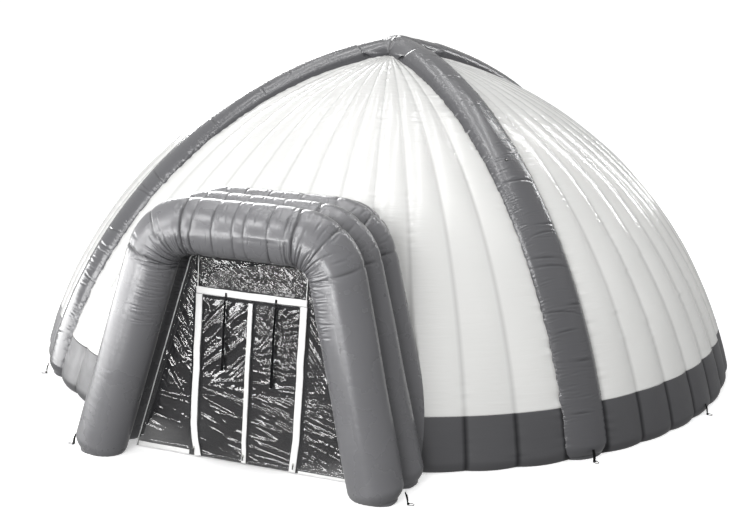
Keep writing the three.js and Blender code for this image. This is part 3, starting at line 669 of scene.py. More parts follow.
# ---- arches --------------------------------------------------------------------------------
class ArchLine:
    """Right foot to left foot of one arch: places and outward normals in its plane, and length.
    Points stand closer on the bends and the top, where the creases are."""

    def __init__(self, foot_x, height):
        run = foot_x - ARCH_SHOULDER_X
        tilt = math.atan2(run, height)
        turn = math.pi / 2 - tilt
        tangent = ARCH_BEND * math.tan(turn / 2)
        self.straight = math.hypot(run, height) - tangent
        self.bend = ARCH_BEND * turn
        centre_x, centre_z = ARCH_SHOULDER_X - tangent, height - ARCH_BEND
        self.half = self.straight + self.bend + centre_x
        leg_end = self.straight - 0.75
        s = np.concatenate([np.linspace(0, leg_end, 130)[:-1], np.linspace(leg_end, self.half, 330)])
        angle = tilt + np.clip((s - self.straight) / ARCH_BEND, 0, turn)
        leg = np.minimum(s, self.straight)
        past = np.maximum(s - self.straight - self.bend, 0)
        bent = s > self.straight
        x = np.where(bent, centre_x + ARCH_BEND * np.cos(angle) - past, foot_x - leg * math.sin(tilt))
        z = np.where(bent, centre_z + ARCH_BEND * np.sin(angle), leg * math.cos(tilt))
        under = np.array([-0.06, -0.03])  # rows that run on below the ground

        def both_sides(ground, half, sign, shift=0.0):
            half = np.concatenate([np.add(ground, [0, 0]), half])
            return np.concatenate([half, shift + sign * half[::-1][1:]])

        self.x, self.z = both_sides(foot_x, x, -1), both_sides(under, z, 1)
        self.nx = both_sides(math.cos(tilt), np.cos(angle), -1)
        self.nz = both_sides(math.sin(tilt), np.sin(angle), 1)
        self.s = both_sides(under, s, -1, 2 * self.half)


FRONT_FACE, INNER_FACE, TOP_FACE = 2 * np.pi, 1.5 * np.pi, 0.5 * np.pi  # turns round an arch
FAN = (INNER_FACE - 0.2, FRONT_FACE - 0.25)
# An arch's creases: count, stretch of turn, run and width of each.
FAN_FINE, FAN_BOLD = (60, FAN, 0.14, 0.008), (16, FAN, 0.2, 0.014)
LEG_SMALL = (46, (INNER_FACE + 0.35, FRONT_FACE - 0.45), 0.07, 0.009)
TOP_SHORT = (60, (TOP_FACE - 1.1, TOP_FACE + 1.1), 0.08, 0.01)
RIM_SHORT = (40, (FRONT_FACE - 0.9, FRONT_FACE + 0.1), 0.06, 0.008)


def arch_creases(line, turn, seed):
    """Creases of an arch: sharp folds that fan out from the inside of each shoulder, small ones on down the
    inner front edge of each leg, and short ones over the top, with painted shade in the valleys of the bold
    and fine folds."""
    end = 2 * line.half
    fine, bold, small = 0, 0, 0
    for side in range(2):
        bend = (line.straight - 0.08, line.straight + line.bend + 0.1)
        leg = (line.straight - 0.75, line.straight + 0.05)
        if side:
            bend, leg = (end - bend[1], end - bend[0]), (end - leg[1], end - leg[0])
        fine = fine + dents(line.s, turn, seed + side, bend, *FAN_FINE)
        bold = bold + dents(line.s, turn, seed + 2 + side, bend, *FAN_BOLD)
        small = small + dents(line.s, turn, seed + 4 + side, leg, *LEG_SMALL)
    top = (line.straight, end - line.straight)
    over = dents(line.s, turn, seed + 6, top, *TOP_SHORT)
    rim = dents(line.s, turn, seed + 7, top, *RIM_SHORT)
    # Painted shade: the bottoms of the bold and fine folds are darkened.
    dark_thread_and_crease_shade = np.clip(0.8 * np.maximum(-bold, 0) + 0.3 * np.maximum(-fine, 0), 0, 0.8)
    return 0.006 * fine + 0.011 * bold + 0.006 * small + 0.004 * over + 0.004 * rim, dark_thread_and_crease_shade


def arch_relief(line, turn, index):
    """Relief and seam value of a whole arch, whose lintel has cross welds at set shares; the seam value also
    holds painted shade in its folds.
    """
    lintel = 2 * (line.half - line.straight - line.bend)
    shares = np.array([0.3, 0.62, 0.85] if index else [0.04, 0.2, 0.42, 0.53, 0.73, 0.93])
    bends = line.bend * np.array([0.05, 0.5, 0.95])
    mitres = np.concatenate([line.straight + bends, 2 * line.half - line.straight - bends])
    over = line.straight + line.bend + lintel * shares
    relief, seam = seam_relief(line.s, turn, over, WELD_SEED + 9 * index)
    bend_relief, bend_seam = seam_relief(line.s, turn, mitres, BEND_SEED + 9 * index, 0.016)
    creases, dark_thread_and_crease_shade = arch_creases(line, turn, ARCH_SEED + 10 * index)
    s, cosine = line.s[:, None], np.cos(turn)
    relief = relief + bend_relief + creases + 0.006 * noise(s / 0.6, turn * BEAM_GIRTH / 0.4, 380 + index)
    if index:
        groove = clipped((np.abs(cosine) - 0.55) / 0.4)
        pucker = ridge_noise(s / 0.05, np.sign(cosine), 350 + index)
        relief = relief + 0.004 * pucker * groove * clipped(0.4 + noise(s / 0.5, 0.0, 360 + index))
    return relief - foot_tuck(line.z), np.maximum(np.maximum(seam, bend_seam), dark_thread_and_crease_shade)


def build_arches():
    for index, (y, foot_x, half_depth, half_width) in enumerate(ARCHES):
        line = ArchLine(foot_x, ARCH_HEIGHT - index * ARCH_DROP)
        zeros = np.zeros_like(line.x)
        centre = np.stack([line.x, zeros + y, line.z], -1)
        out = np.stack([line.nx, zeros, line.nz], -1)
        across = np.array([0, -1.0, 0])
        last = index == len(ARCHES) - 1
        slim = 0.11 * last * clipped((2.75 - line.z) / 0.35)
        points, turn = tube_grid(centre, out, across, half_depth, half_width - slim, ARCH_SIDES)
        points[..., 1] += ARCH_LEAN * np.maximum(points[..., 2], 0)
        relief, seam = arch_relief(line, turn, index)

        def hidden(p, last=last):
            depth = wall.bend - np.hypot(np.hypot(p[:, 0], p[:, 1]) - wall.x, p[:, 2] - wall.z)
            return (depth > 0.2) | (last & (p[:, 2] < LAST_ARCH_END))

        name = f"tunnel_arch_{index + 1}"
        dress(tube_piece(f"{name}_skin", points, relief, seam, line.s, turn, hidden), ARCH_GREY, "root", name)


# ---- crown ---------------------------------------------------------------------------------
def build_crown():
    """The upper side of the four arms that meet at the axis, as rings of points out from it."""
    rings, spokes = 70, 224
    half_width = BEAM_HALF_WIDTH * (1 - BEAM_TAPER)
    reach = np.linspace(0, CROWN_REACH + 0.05, rings)[:, None]
    spoke = full_turn(spokes)
    x, y = reach * np.sin(spoke), -reach * np.cos(spoke)
    heights, sides = [], []
    for _, azimuth in BEAMS:
        ahead = heading(azimuth)
        along = x * ahead[0] + y * ahead[1]
        offset = np.hypot(y * ahead[0] - x * ahead[1], np.minimum(along, 0))
        cosine = (np.hypot(np.maximum(along, 0), 0.08) - beam_arc.x) / beam_arc.bend
        sine = np.sqrt(1 - cosine**2)
        share = clipped(offset / half_width)
        heights.append(beam_arc.z + beam_arc.bend * sine + BEAM_HALF_DEPTH * np.sqrt(1 - share**2) / sine)
        sides.append(offset)
    heights, sides = np.sort(heights, 0), np.sort(sides, 0)
    blend = 0.02  # how softly one arm runs into the next
    z = heights[-1] + blend * (np.log1p(np.exp((heights[-2] - heights[-1]) / blend)) - math.log(2))
    outside = np.maximum(sides[0] - half_width, 0)
    pull = np.where(outside > 0, half_width / np.maximum(sides[0], 1e-6), 1.0)
    points = np.stack([x * pull, y * pull, z - 1.6 * outside], -1)
    valley = bell(sides[1] - sides[0], 0.03) * clipped((reach - 0.1) / 0.15)
    gather = noise(spoke * 16, reach / 0.5, 900) + 0.6 * noise(spoke * 31, reach / 0.4, 903)
    relief = 0.004 * gather * clipped(reach / 0.12) * clipped(1 - reach / 0.62) - 0.012 * valley
    normal = grid_normals(points, wrap=True)
    normal[0] = UP
    moved = (points + normal * relief[..., None]).reshape(-1, 3)
    faces = grid_faces(rings, spokes, wrap=True)
    low = (outside > 0.2).reshape(-1)[faces].all(1)
    uv = paired(x, y).reshape(-1, 2)
    # The seam value 0.9 * valley darkens the valley where two arms meet: painted shade.
    crown = skin_mesh("crown_cross_skin", moved, faces, low, uv, (0.9 * valley).reshape(-1))
    dress(crown, BEAM_GREY, "root", "crown_cross")


# ---- film wall -----------------------------------------------------------------------------
def film_place(x, y, z):
    """A point of the leaning film plane: x across, y out of the plane to the back, z up it."""
    c, s = math.cos(FILM_TILT), math.sin(FILM_TILT)
    x, y, z = np.broadcast_arrays(x, y, z)
    return np.stack([x, FILM_Y + y * c + z * s, -y * s + z * c], -1)


def ridges(x, z, slant, length, width, seed):
    """Sharp crests about `length` long and `width` apart that run along a slant."""
    c, d = math.cos(slant), math.sin(slant)
    along, aside = x * c + z * d, -x * d + z * c
    bend = 0.5 * noise(along / (0.7 * length), aside / (4 * width), seed + 1)
    crest = 1 - np.abs(noise(along / length, aside / width + bend, seed))
    return crest**3 - 0.4


def chaos(x, z, width, seed, count=6):
    """Crests of every slant, each over its own patches of the sheet."""
    rng = np.random.default_rng(seed)
    total = 0
    for i in range(count):
        patch = clipped(0.25 + noise(x / 0.28, z / 0.28, seed + 31 + i))
        slant, length = rng.uniform(0, np.pi), rng.uniform(3.5, 8) * width
        total = total + ridges(x, z, slant, length, width * rng.uniform(0.7, 1.5), seed + i) * patch
    return total


FOLDS = [  # height, slant, length, width and seed of each set of crests
    [(0.012, 0.75, 0.6, 0.12, 520), (0.006, 0.85, 0.4, 0.055, 523)],  # bold, on the left leaf
    [(0.009, -0.2, 0.6, 0.07, 530), (0.0045, -0.34, 0.4, 0.034, 533)],  # sagging, low down
    [(0.005, 0.05, 0.6, 0.08, 536)],  # level, across the middle
    [(0.008, -0.9, 0.4, 0.045, 551)],  # slanted, beside the door
    [(0.0028, -0.65, 0.5, 0.022, 560)],  # ripples over the door
]


def film_relief(x, z):
    """Depth of the film's creases, by the part of the wall."""
    busy = 0.0055 * chaos(x, z, 0.055, 501) + 0.003 * chaos(x, z, 0.032, 541, 5)
    bold, sag, level, slant, ripple = (
        sum(height * ridges(x, z, *numbers) for height, *numbers in kind) for kind in FOLDS
    )
    calm = np.clip(0.65 + noise(x / 0.5, z / 0.35, 539), 0.3, 1)
    left_leaf = clipped((0.02 - x) * 12) * clipped((z - 0.75) * 3)
    low = clipped((1.05 - z) * 3.0)
    middle = bell(z - 1.0, 0.14)
    over = clipped((z - DOOR_HEIGHT - 0.03) * 12)
    wing = clipped((np.abs(x) - DOOR_HALF_WIDTH) * 30) * (1 - over)
    door = (busy * (1 - 0.7 * left_leaf) + bold * left_leaf) * (1 - low)
    door = door + (0.12 * busy + 1.1 * sag) * low * calm
    door = door * (1 - 0.5 * middle) + level * middle
    side = 0.5 * busy * calm + 0.6 * slant * clipped((z - 0.6) * 2) + 0.8 * sag * low * calm
    return door * (1 - wing) * (1 - over) + side * wing + (0.8 * busy + 0.5 * slant + ripple) * over


def film_patch(corners, step):
    """Points of a four-sided patch of the film plane, corners given bottom left first, and how
    far each lies from the patch's edge."""
    (ax, az), (bx, bz), (cx, cz), (dx, dz) = corners
    columns = max(int(math.hypot(bx - ax, bz - az) / step), 3)
    rows = max(int(math.hypot(dx - ax, dz - az) / step), 3)
    u = np.linspace(0, 1, columns)
    v = np.linspace(0, 1, rows)[:, None]
    x = (1 - u) * (1 - v) * ax + u * (1 - v) * bx + u * v * cx + (1 - u) * v * dx
    z = (1 - u) * (1 - v) * az + u * (1 - v) * bz + u * v * cz + (1 - u) * v * dz
    edge = np.minimum(np.minimum(u, 1 - u) * abs(bx - ax), np.minimum(v, 1 - v) * abs(dz - az))
    return x, z, edge


def film_mesh(name, patches, step):
    """A creased sheet of film. Each patch has four corners, and a function that says how free its
    points are to leave the plane, or None for a patch held along its own edges."""
    points, faces, uv, start = [], [], [], 0
    for corners, free in patches:
        x, z, edge = film_patch(corners, step)
        hold = clipped(edge / 0.035) if free is None else free(x, z)
        y = (np.clip(-FILM_CREASE * film_relief(x, z), -0.02, 0.03) + 0.014) * hold
        points.append(film_place(x, y, z).reshape(-1, 3))
        faces.append(grid_faces(*x.shape) + start)
        uv.append(np.stack([x, z], -1).reshape(-1, 2))
        start += x.size
    return make_mesh(name, np.vstack(points), np.vstack(faces), np.vstack(uv))


def slope_x(z):
    return FILM_FOOT_X + (FILM_TOP_X - FILM_FOOT_X) * (z - FILM_BOTTOM) / (FILM_TOP - FILM_BOTTOM)


def wing_hold(x, z):
    inner = np.abs(x) - DOOR_HALF_WIDTH - TAPE_WIDTH
    return clipped(np.minimum(np.minimum(inner, slope_x(z) - np.abs(x)), z - FILM_BOTTOM - 0.05) / 0.04)


def transom_hold(x, z):
    edge = np.minimum(slope_x(z) - np.abs(x), FILM_TOP - z) / 0.04
    beside_tape = np.abs(x) < DOOR_HALF_WIDTH + TAPE_WIDTH
    return clipped(np.minimum(edge, np.where(beside_tape, (z - DOOR_HEIGHT - TAPE_WIDTH) / 0.04, 1)))


def build_film():
    foot, top, door = FILM_BOTTOM, FILM_TOP, DOOR_HEIGHT
    wing = slope_x(door)
    left = ((-FILM_FOOT_X, foot), (-DOOR_HALF_WIDTH, foot), (-DOOR_HALF_WIDTH, door), (-wing, door))
    right = ((DOOR_HALF_WIDTH, foot), (FILM_FOOT_X, foot), (wing, door), (DOOR_HALF_WIDTH, door))
    over = ((-wing, door), (wing, door), (FILM_TOP_X, top), (-FILM_TOP_X, top))
    patches = [(left, wing_hold), (right, wing_hold), (over, transom_hold)]
    surround = film_mesh("film_surround_sheet", patches, FILM_STEP)
    dress(thicken(surround, FILM_THICKNESS, 0.0), FILM, "root", "film_surround")
    for side, low, high in LEAVES:
        corners = ((low, LEAF_BOTTOM), (high, LEAF_BOTTOM), (high, LEAF_TOP), (low, LEAF_TOP))
        leaf = film_mesh(f"door_leaf_{side}_sheet", [(corners, None)], LEAF_STEP)
        dress(thicken(leaf, FILM_THICKNESS, 0.0), FILM, f"door_leaf_{side}", f"door_leaf_{side}")


# ---- tapes, hems, straps and piping --------------------------------------------------------
def ribbon(name, line, width, thickness, wave=0.0, seed=0, depth=0.0):
    """A flat tape along points (x, y, z) of the film plane. width may be one per point. wave is
    how far it wanders sideways, and depth how far it stands out in front."""
    line = np.asarray(line, float)
    length = run_length(line[:, [0, 2]])
    s = np.linspace(0, length[-1], max(int(length[-1] / TAPE_STEP), 4))
    x, y, z = (np.interp(s, length, column) for column in line.T)
    half = np.interp(s, length, np.broadcast_to(width, (len(line),))) / 2
    way = unit(np.stack([np.gradient(x), np.gradient(z)], -1))
    columns = 9
    t = np.linspace(-1, 1, columns)
    across = t * half[:, None]
    shifted = across + wave * noise(s / 0.22, seed, seed)[:, None]
    stand = 0.5 + 0.5 * noise(s / 0.16, seed + 1, seed)[:, None]
    curl = 1 + 0.3 * t * noise(s / 0.1, seed + 2, seed)[:, None]
    px, pz = x[:, None] + way[:, 1:] * shifted, z[:, None] - way[:, :1] * shifted
    points = film_place(px, y[:, None] - depth * stand * curl, pz)
    stitch = bell(np.abs(t) - 0.82, 0.06) + 0 * s[:, None]
    made = make_mesh(name, points, grid_faces(len(s), columns), paired(across, s[:, None]), stitch)
    return thicken(made, thickness, 0.0)


def build_tapes():
    top_z = DOOR_HEIGHT + TAPE_WIDTH / 2
    side_x = DOOR_HALF_WIDTH + TAPE_WIDTH / 2
    end_x = side_x + 0.042
    y = -0.0075
    line = [(-end_x, y, top_z), (end_x, y, top_z)]
    top = ribbon("door_tape_top_band", line, TAPE_WIDTH, TAPE_THICKNESS, 0.003, 611, 0.004)
    dress(top, TAPE, "root", "door_tape_top")
    for side, sign, bend, hem_height in (("left", -1, 0.03, 0.06), ("right", 1, -0.012, 0.034)):
        x = sign * side_x
        line = [(x, y - 0.001, DOOR_HEIGHT - 0.001), (x, y, 0.4)]
        line += [(x + bend, y - 0.004, 0.2), (x + 2.4 * bend, y - 0.006, 0.016)]
        name = f"door_tape_{side}"
        tape = ribbon(f"{name}_band", line, TAPE_WIDTH, TAPE_THICKNESS, 0.006, 620 + sign, 0.005)
        dress(tape, TAPE, "root", name)
        hem_z = FILM_BOTTOM + hem_height / 2
        line = [(sign * 0.71, y, hem_z), (sign * 1.4, y, hem_z)]
        name = f"ground_hem_{side}"
        dress(ribbon(f"{name}_band", line, hem_height, 0.003, 0.002, 640 + sign, 0.004), TAPE, "root", name)
    line = [(-0.0015, y, 1.958), (-0.0015, y, 0.28), (0.009, y - 0.003, 0.16), (0.009, y - 0.004, 0.022)]
    flap = ribbon("zip_flap_band", line, FLAP_WIDTH, TAPE_THICKNESS, 0.003, 660, 0.006)
    dress(flap, TAPE, "door_leaf_left", "zip_flap_centre")


def build_straps():
    """Each strap, its head sewn over the top tape, and the short piece between them on the leaf."""
    widths = STRAP_WIDTH * np.array([0.95, 0.95, 1.1, 1.35])
    for index, (side, x, length) in enumerate(STRAPS):
        low, front = STRAP_TOP - 0.005, -0.024
        line = [(x, -0.012, STRAP_TOP), (x, front, 1.93)]
        line += [(x, front, low - length * share) for share in (0.5, 1)]
        name = f"roll_up_strap_{side}"
        strap = ribbon(f"{name}_web", line, widths, WEB_THICKNESS, 0.006, 661 + index, 0.01)
        dress(strap, WEBBING, name, name)
        line = [(x, -0.0165, 2.045), (x, -0.0165, 1.999)]
        dress(ribbon(f"strap_head_{side}_web", line, widths[0], WEB_THICKNESS), WEBBING, "root")
        line = [(x, -0.008, 1.979), (x, -0.009, 1.971), (x, -0.0105, 1.963)]
        loop = ribbon(f"strap_loop_{side}_web", line, widths[0], WEB_THICKNESS)
        dress(loop, WEBBING, f"door_leaf_{side}")


def cord_mesh(name, path, radius, sides=10, closed=False):
    """A round tube along points, for piping and rings."""
    path = np.asarray(path, float)
    way = unit(np.roll(path, -1, 0) - np.roll(path, 1, 0) if closed else np.gradient(path, axis=0))
    guide = UP if abs(way[:, 2]).max() < 0.9 else np.array([0.31, 0.93, 0.2])
    first = unit(np.cross(way, guide))
    second = np.cross(way, first)
    turn = full_turn(sides)[None, :, None]
    points = path[:, None] + radius * (first[:, None] * np.cos(turn) + second[:, None] * np.sin(turn))
    faces = grid_faces(len(path), sides, wrap=True)
    if closed:
        last = grid_faces(2, sides, wrap=True)
        last = np.where(last >= sides, last - sides, last + (len(path) - 1) * sides)
        faces = np.vstack([faces, last])
    return make_mesh(name, points, faces)


def build_piping():
    """Piping along the film's sloped sides and top, round its corners, and two drops beside the
    transom pane."""
    corner, drop_x, inset, step = 0.09, 0.692, 0.008, 0.02
    slope = unit(np.array([FILM_FOOT_X - FILM_TOP_X, FILM_TOP - FILM_BOTTOM]))
    top_left = np.array([-FILM_TOP_X, FILM_TOP])
    start, end = top_left - slope * corner, top_left + np.array([corner, 0])
    bend = [(1 - t) ** 2 * start + 2 * t * (1 - t) * top_left + t**2 * end for t in np.linspace(0, 1, 9)]
    half = [(-FILM_FOOT_X, FILM_BOTTOM), *bend]
    x, z = fine_line(half + [(-px, pz) for px, pz in half[::-1]], step).T
    x = x - np.sign(x) * inset
    z = z - np.where(z > FILM_TOP - 0.02, inset, 0)
    path = film_place(x, -0.004 - 0.003 * noise(z / 0.1, x / 0.1, 31), z)
    dress(cord_mesh("film_piping_edge", path, 0.0065), TAPE, "root", "film_piping")
    for side, sign in (("left", -1), ("right", 1)):
        line = [(sign * drop_x, DOOR_HEIGHT + TAPE_WIDTH), (sign * (drop_x + 0.004), FILM_TOP - 0.01)]
        x, z = fine_line(line, step).T
        drop = cord_mesh(f"film_piping_drop_{side}", film_place(x, -0.004, z), 0.005)
        dress(drop, TAPE, "root", "film_piping")


# ---- fittings ------------------------------------------------------------------------------
ANCHOR_OUT = 0.004  # how far an anchor's foot point stands off the skin
RING_BAR, RING_WIDTH, RING_LENGTH, RING_CORNER = 0.008, 0.062, 0.074, 0.006
LOOP_CENTRE, LOOP_RADIUS = 0.012, 0.0095  # the webbing's loop that a ring turns in
TAB_WIDTH, TAB_THICKNESS = 0.036, 0.0028
SLEEVE_RADIUS, SLEEVE_HEIGHT, SLEEVE_START, SLEEVE_END = 0.15, 0.16, 4.98, 5.865
SLIDER_SIDE_X, SLIDER_Z, SLIDER_FRONT, PULL_LENGTH = 0.645, 0.11, -0.0285, 0.055


def anchor_places():
    """Name, foot point and outward direction of each anchor."""
    places = [(f"beam_{side}", azimuth, BEAM_RADIUS + BEAM_HALF_DEPTH) for side, azimuth in BEAMS]
    places += [("side_right", 75, WALL_RADIUS), ("side_left", -75, WALL_RADIUS)]
    anchors = [(name, heading(at) * (radius + ANCHOR_OUT), heading(at)) for name, at, radius in places]
    for side, sign in (("left", -1), ("right", 1)):
        low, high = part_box(f"anchor_tab_tunnel_{side}")
        x = low[0] - 0.001 if sign > 0 else high[0] + 0.001
        foot = np.array([x, (low[1] + high[1]) / 2, 0])
        anchors.append((f"tunnel_{side}", foot, np.array([sign, 0, 0.0])))
    return anchors


def strip(name, line, out, width, thickness):
    """Webbing along points of an upright plane that holds the direction out."""
    step, columns = 0.004, 7
    line = fine_line(line, step)
    t = np.linspace(-1, 1, columns)
    points = line[:, None, :] + np.cross(out, UP) * (t[None, :, None] * width / 2)
    stitch = bell(np.abs(t) - 0.75, 0.1) + 0 * line[:, :1]
    uv = paired(t * width / 2, np.arange(len(line))[:, None] * step)
    return thicken(make_mesh(name, points, grid_faces(len(line), columns), uv, stitch), thickness, 0.0)


def build_anchors():
    """Webbing tabs that come down a foot, loop round a ring's bar and go back up, and the rings."""
    turns = np.linspace(math.pi, 2.9 * math.pi, 16)
    loop = [(LOOP_CENTRE + LOOP_RADIUS * math.cos(a), LOOP_CENTRE + LOOP_RADIUS * math.sin(a)) for a in turns]
    profile = [(-0.03, 0.15), (-0.02, 0.12), (-0.006, 0.08), (0.0015, 0.04), *loop]
    profile += [(0.006, 0.045), (-0.001, 0.085), (-0.014, 0.12)]
    half = (RING_WIDTH - RING_BAR) / 2
    bow = RING_LENGTH - RING_WIDTH / 2 - RING_BAR / 2
    ring = [(0, -half + RING_CORNER), (RING_CORNER, -half)]
    ring += [(bow + half * math.sin(a), -half * math.cos(a)) for a in np.linspace(0, math.pi, 15)]
    ring += [(RING_CORNER, half), (0, half - RING_CORNER)]
    for name, foot, out in anchor_places():
        tab, bar = f"anchor_tab_{name}", f"anchor_ring_{name}"
        line = [foot + out * u + UP * z for u, z in profile]
        dress(strip(f"{tab}_web", line, out, TAB_WIDTH, TAB_THICKNESS), WEBBING, "root", tab)
        side = np.cross(out, UP)
        centre = foot + out * LOOP_CENTRE + UP * LOOP_CENTRE
        path = [centre + out * u + side * v for u, v in ring]
        path = fine_line([*path, path[0]], 0.004)[:-1]
        dress(cord_mesh(f"{bar}_bar", path, RING_BAR / 2, 12, closed=True), RING_STEEL, bar, bar)


def build_sleeve():
    """The fabric sleeve that a blower pushes into: gathered at the wall, slack, with a hem."""
    rows, sides = 110, 96
    y = np.linspace(SLEEVE_START, SLEEVE_END - 0.004, rows)[:, None]
    turn = full_turn(sides)
    share = (y - SLEEVE_START) / (y[-1] - SLEEVE_START)
    radius = SLEEVE_RADIUS - 0.012 + 0.009 * np.cos(2 * turn + 0.4) * share - 0.006 * (1 - share)
    folds = 0.006 * ridge_noise(turn * 3.0 + 0.6 * share, y / 0.11, 701)
    folds = folds + 0.004 * noise(turn * 6, y / 0.06, 703)
    hem = np.abs(share - 0.955) < 0.045
    stitched, band = bell(share - 0.91, 0.008), bell(share - 0.2, 0.02)
    radius = radius + folds * (1 - 0.7 * share**4) + 0.0015 * hem - 0.003 * stitched - 0.01 * band
    height = np.maximum(SLEEVE_HEIGHT + radius * np.sin(turn), 0.004)
    points = np.stack([radius * np.cos(turn), y + 0 * turn, height], -1)
    faces = grid_faces(rows, sides, wrap=True)[:, ::-1]
    seam = np.maximum(stitched, 0.6 * band) + 0 * turn
    sleeve = make_mesh("inflation_sleeve_skin", points, faces, paired(turn * SLEEVE_RADIUS, y), seam)
    dress(thicken(sleeve, 0.0025), BAND_GREY, "root", "inflation_sleeve")


def lathe(name, profile, centre, axis, sides=48):
    """A body turned round an axis from (radius, height) points that start and end on one ring."""
    first = unit(np.cross(axis, UP))
    second = np.cross(axis, first)
    turn = full_turn(sides)[:, None]
    ring = first * np.cos(turn) + second * np.sin(turn)
    points = np.array([centre + axis * h + ring * r for r, h in profile])
    made = make_mesh(name, points, grid_faces(len(profile), sides, wrap=True))
    bevel = made.modifiers.new("edge", "BEVEL")
    bevel.width, bevel.segments, bevel.limit_method = 0.0007, 2, "ANGLE"
    return made


def build_valve():
    low, high = (np.array(corner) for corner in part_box("relief_valve_body"))
    middle = (low + high) / 2
    lift = beam_arc.at_height(middle[2])
    axis = math.cos(lift) * heading(FRONT_AZIMUTH) + math.sin(lift) * UP
    seat = middle - axis * 0.006
    body = [(0.017, 0.0), (0.030, 0.0), (0.030, 0.002), (0.029, 0.003), (0.023, 0.0045)]
    body += [(0.0225, 0.0115), (0.022, 0.012), (0.017, 0.012), (0.017, 0.0)]
    dress(lathe("relief_valve_body_ring", body, seat, axis), VALVE_BLACK, "root", "relief_valve_body")
    poppet = [(0.0002, 0.001), (0.015, 0.001), (0.015, 0.0065), (0.0142, 0.007)]
    poppet += [(0.006, 0.0082), (0.004, 0.009), (0.0002, 0.009)]
    name = "relief_valve_poppet"
    dress(lathe(f"{name}_disc", poppet, seat, axis), VALVE_LIGHT, name, name)


def build_zips():
    """The metal look of each slider, and the cloth pull on it."""
    for side, x in (("left", -SLIDER_SIDE_X), ("centre", 0.0), ("right", SLIDER_SIDE_X)):
        slider = bpy.data.objects[f"zip_slider_{side}"]
        slider.data.materials.clear()
        slider.data.materials.append(ZIP_METAL)
        heights = (SLIDER_Z - 0.001, SLIDER_Z - 0.03, SLIDER_Z - PULL_LENGTH + 0.001)
        line = [(px, SLIDER_FRONT, z) for px, z in zip((x, x + 0.0004, x), heights)]
        name = f"zip_pull_{side}"
        dress(ribbon(f"{name}_web", line, [0.007, 0.0115, 0.0115], 0.0022), WEBBING, name, name)


# ---- camera, floor and lights --------------------------------------------------------------
CAMERA_AZIMUTH, CAMERA_DISTANCE, CAMERA_HEIGHT, CAMERA_ROLL = 18.242, 18.969, 6.185, 1.83
AIM_SIDE, AIM_HEIGHT = -0.239, 1.249
SENSOR, FOCAL_SHARE = 36.0, 1.6849  # focal length over the picture's width
FLOOR_GLOW = 0.42
SKY_LIGHT, HORIZON_LIGHT, GROUND_LIGHT = 0.37, 0.5, 0.46
LEFT_SHARE, RIGHT_SHARE = 1.25, 0.5  # of the world's light, to the left and right


def around_dome(azimuth, distance, elevation):
    """A place at a compass direction, distance and elevation angle from the dome's middle."""
    e = math.radians(elevation)
    return Vector(distance * (heading(azimuth) * math.cos(e) + UP * math.sin(e)))


BOTH, SOFT, SHEEN = (True, True), (True, False), (False, True)  # shows in diffuse and in gloss
LIGHTS = [  # name, place, aim, size, power, where it shows
    ("key_box", around_dome(-38, 19, 20), (0, -2, 1.5), (7, 4), 800, BOTH),
    ("front_fill", around_dome(0, 20, 24), (0, -2, 2), (8, 5), 1400, SOFT),
    ("right_fill", around_dome(95, 20, 35), (0, 0, 2), (8, 8), 800, SOFT),
    ("left_room_sheen", around_dome(-70, 20, 4), (0, -2, 1.0), (26, 5), 3200, SHEEN),
    ("front_low_sheen", around_dome(-18, 20, 5), (0, -5, 2), (11, 2.2), 1250, SHEEN),
    ("front_sheen", around_dome(-22, 19, 36), (0, -5, 1.5), (6, 3), 500, SHEEN),
    ("front_high_streak", around_dome(-12, 17, 62), (0, -3, 2.5), (0.7, 8), 160, SHEEN),
    ("zenith_sheen", (0, 0, 20), (0, 0, 4), (12, 12), 450, SHEEN),
    ("roof_strip_1", (-7, -1, 19), (-7, -1, 0), (0.7, 18), 400, SHEEN),
    ("roof_strip_2", (-2.5, -1, 19), (-2.5, -1, 0), (0.7, 18), 400, SHEEN),
    ("roof_strip_3", (2, -1, 19), (2, -1, 0), (0.7, 18), 400, SHEEN),
    ("back_right_streak", around_dome(147, 17, 40), (1.5, 0, 3), (0.6, 14), 550, SHEEN),
    ("back_left_sheen", around_dome(-140, 20, 30), (0, 0, 4), (10, 8), 3300, SHEEN),
]


def build_camera():
    a = math.radians(CAMERA_AZIMUTH)
    place = Vector(heading(CAMERA_AZIMUTH) * CAMERA_DISTANCE + UP * CAMERA_HEIGHT)
    aim = Vector((math.cos(a) * AIM_SIDE, math.sin(a) * AIM_SIDE, AIM_HEIGHT))
    data = bpy.data.cameras.new("camera")
    data.sensor_width, data.lens, data.clip_end = SENSOR, FOCAL_SHARE * SENSOR, 200
    camera = bpy.data.objects.new("camera", data)
    look = (aim - place).normalized()
    right = look.cross(Vector((0, 0, 1))).normalized()
    up = right.cross(look)
    c, s = math.cos(math.radians(CAMERA_ROLL)), math.sin(math.radians(CAMERA_ROLL))
    rows = [(*axis, at) for *axis, at in zip(right * c + up * s, up * c - right * s, -look, place)]
    camera.matrix_world = Matrix([*rows, (0, 0, 0, 1)])
    bpy.context.scene.collection.objects.link(camera)
    bpy.context.scene.camera = camera


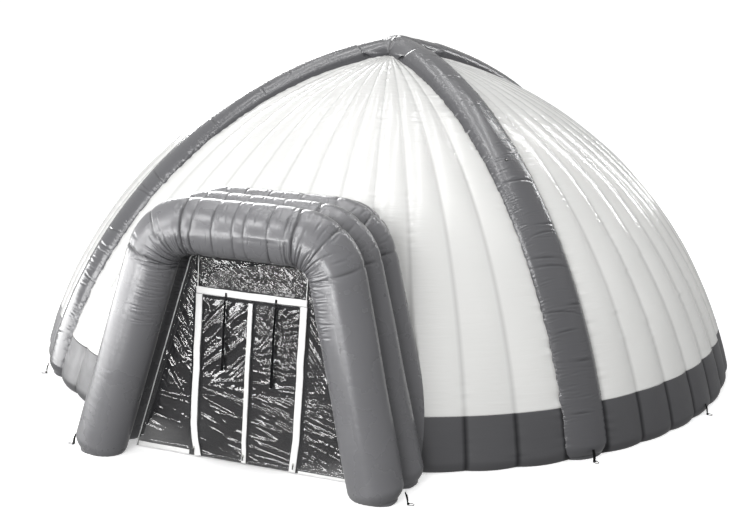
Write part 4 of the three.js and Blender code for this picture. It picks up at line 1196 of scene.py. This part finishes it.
def build_world():
    """Soft light from overhead, the light a pale ground sends back, and a room darker to the right."""
    world = bpy.data.worlds.new("studio")
    world.use_nodes = True
    tree = world.node_tree
    place = node(tree, "TexCoord", {}).outputs["Generated"]
    toward = node(tree, "SeparateXYZ", {"Vector": place}).outputs
    height = node(tree, "MapRange", {"Value": toward["Z"], "From Min": -1.0, "From Max": 1.0})
    sky = node(tree, "ValToRGB", {"Fac": height.outputs[0]})
    ramp = sky.color_ramp.elements
    ramp[0].position, ramp[1].position = 0.0, 1.0
    levels = (GROUND_LIGHT, SKY_LIGHT, GROUND_LIGHT, HORIZON_LIGHT)
    for element, level in zip((ramp[0], ramp[1], ramp.new(0.42), ramp.new(0.5)), levels):
        element.color = (level, level, level, 1)
    ranges = {"From Min": -0.8, "From Max": 0.8, "To Min": LEFT_SHARE, "To Max": RIGHT_SHARE}
    side = node(tree, "MapRange", {"Value": toward["X"]} | ranges)
    plug(tree, tree.nodes["Background"], {"Color": sky.outputs[0], "Strength": side.outputs[0]})
    bpy.context.scene.world = world


def build_floor():
    """A pale floor that glows faintly all round the tent; its glow is cut out under the tent and in front of
    the tunnel, a painted shade there.
    """
    look = Look("pale_floor")

    def vector(operation, inputs):
        return node(look.tree, "VectorMath", inputs, operation=operation).outputs

    flat = vector("MULTIPLY", {0: look.place["Object"], 1: (1, 1, 0)})[0]
    from_tunnel = vector("ADD", {0: flat, 1: (0, 4.2, 0)})[0]
    # room and porch take the glow away under the tent and just inside the tunnel: painted shade, so the floor
    # seen through the film stays dark.
    room = look.spread(vector("LENGTH", {0: flat})["Value"], 4.6, 4.9, 0.0, 1.0)
    porch = look.spread(vector("LENGTH", {0: from_tunnel})["Value"], 1.1, 1.5, 0.0, 1.0)
    material = look.done(
        Base_Color=(0.95, 0.95, 0.95, 1),
        Roughness=0.95,
        Emission_Color=(1, 1, 1, 1),
        Emission_Strength=look.product(look.product(room, porch), FLOOR_GLOW),
    )
    bpy.ops.mesh.primitive_plane_add(size=400, location=(0, 0, 0))
    floor = bpy.context.object
    floor.name = "floor"
    floor.data.materials.append(material)
    floor.visible_diffuse = False
    floor.visible_glossy = False


def build_lights():
    for name, place, aim, size, power, (diffuse, glossy) in LIGHTS:
        data = bpy.data.lights.new(name, "AREA")
        data.shape = "RECTANGLE"
        data.size, data.size_y = size
        data.energy = power
        light = bpy.data.objects.new(name, data)
        light.location = place
        light.rotation_euler = (Vector(aim) - Vector(place)).to_track_quat("-Z", "Y").to_euler()
        light.visible_diffuse, light.visible_glossy = diffuse, glossy
        bpy.context.scene.collection.objects.link(light)
    bpy.context.scene.view_settings.view_transform = "Standard"


for build in (build_camera, build_world, build_floor, build_lights):
    build()
for build in (build_walls, build_bands, build_beams, build_arches, build_crown, build_film):
    build()
for build in (build_tapes, build_straps, build_piping, build_zips, build_anchors, build_sleeve, build_valve):
    build()
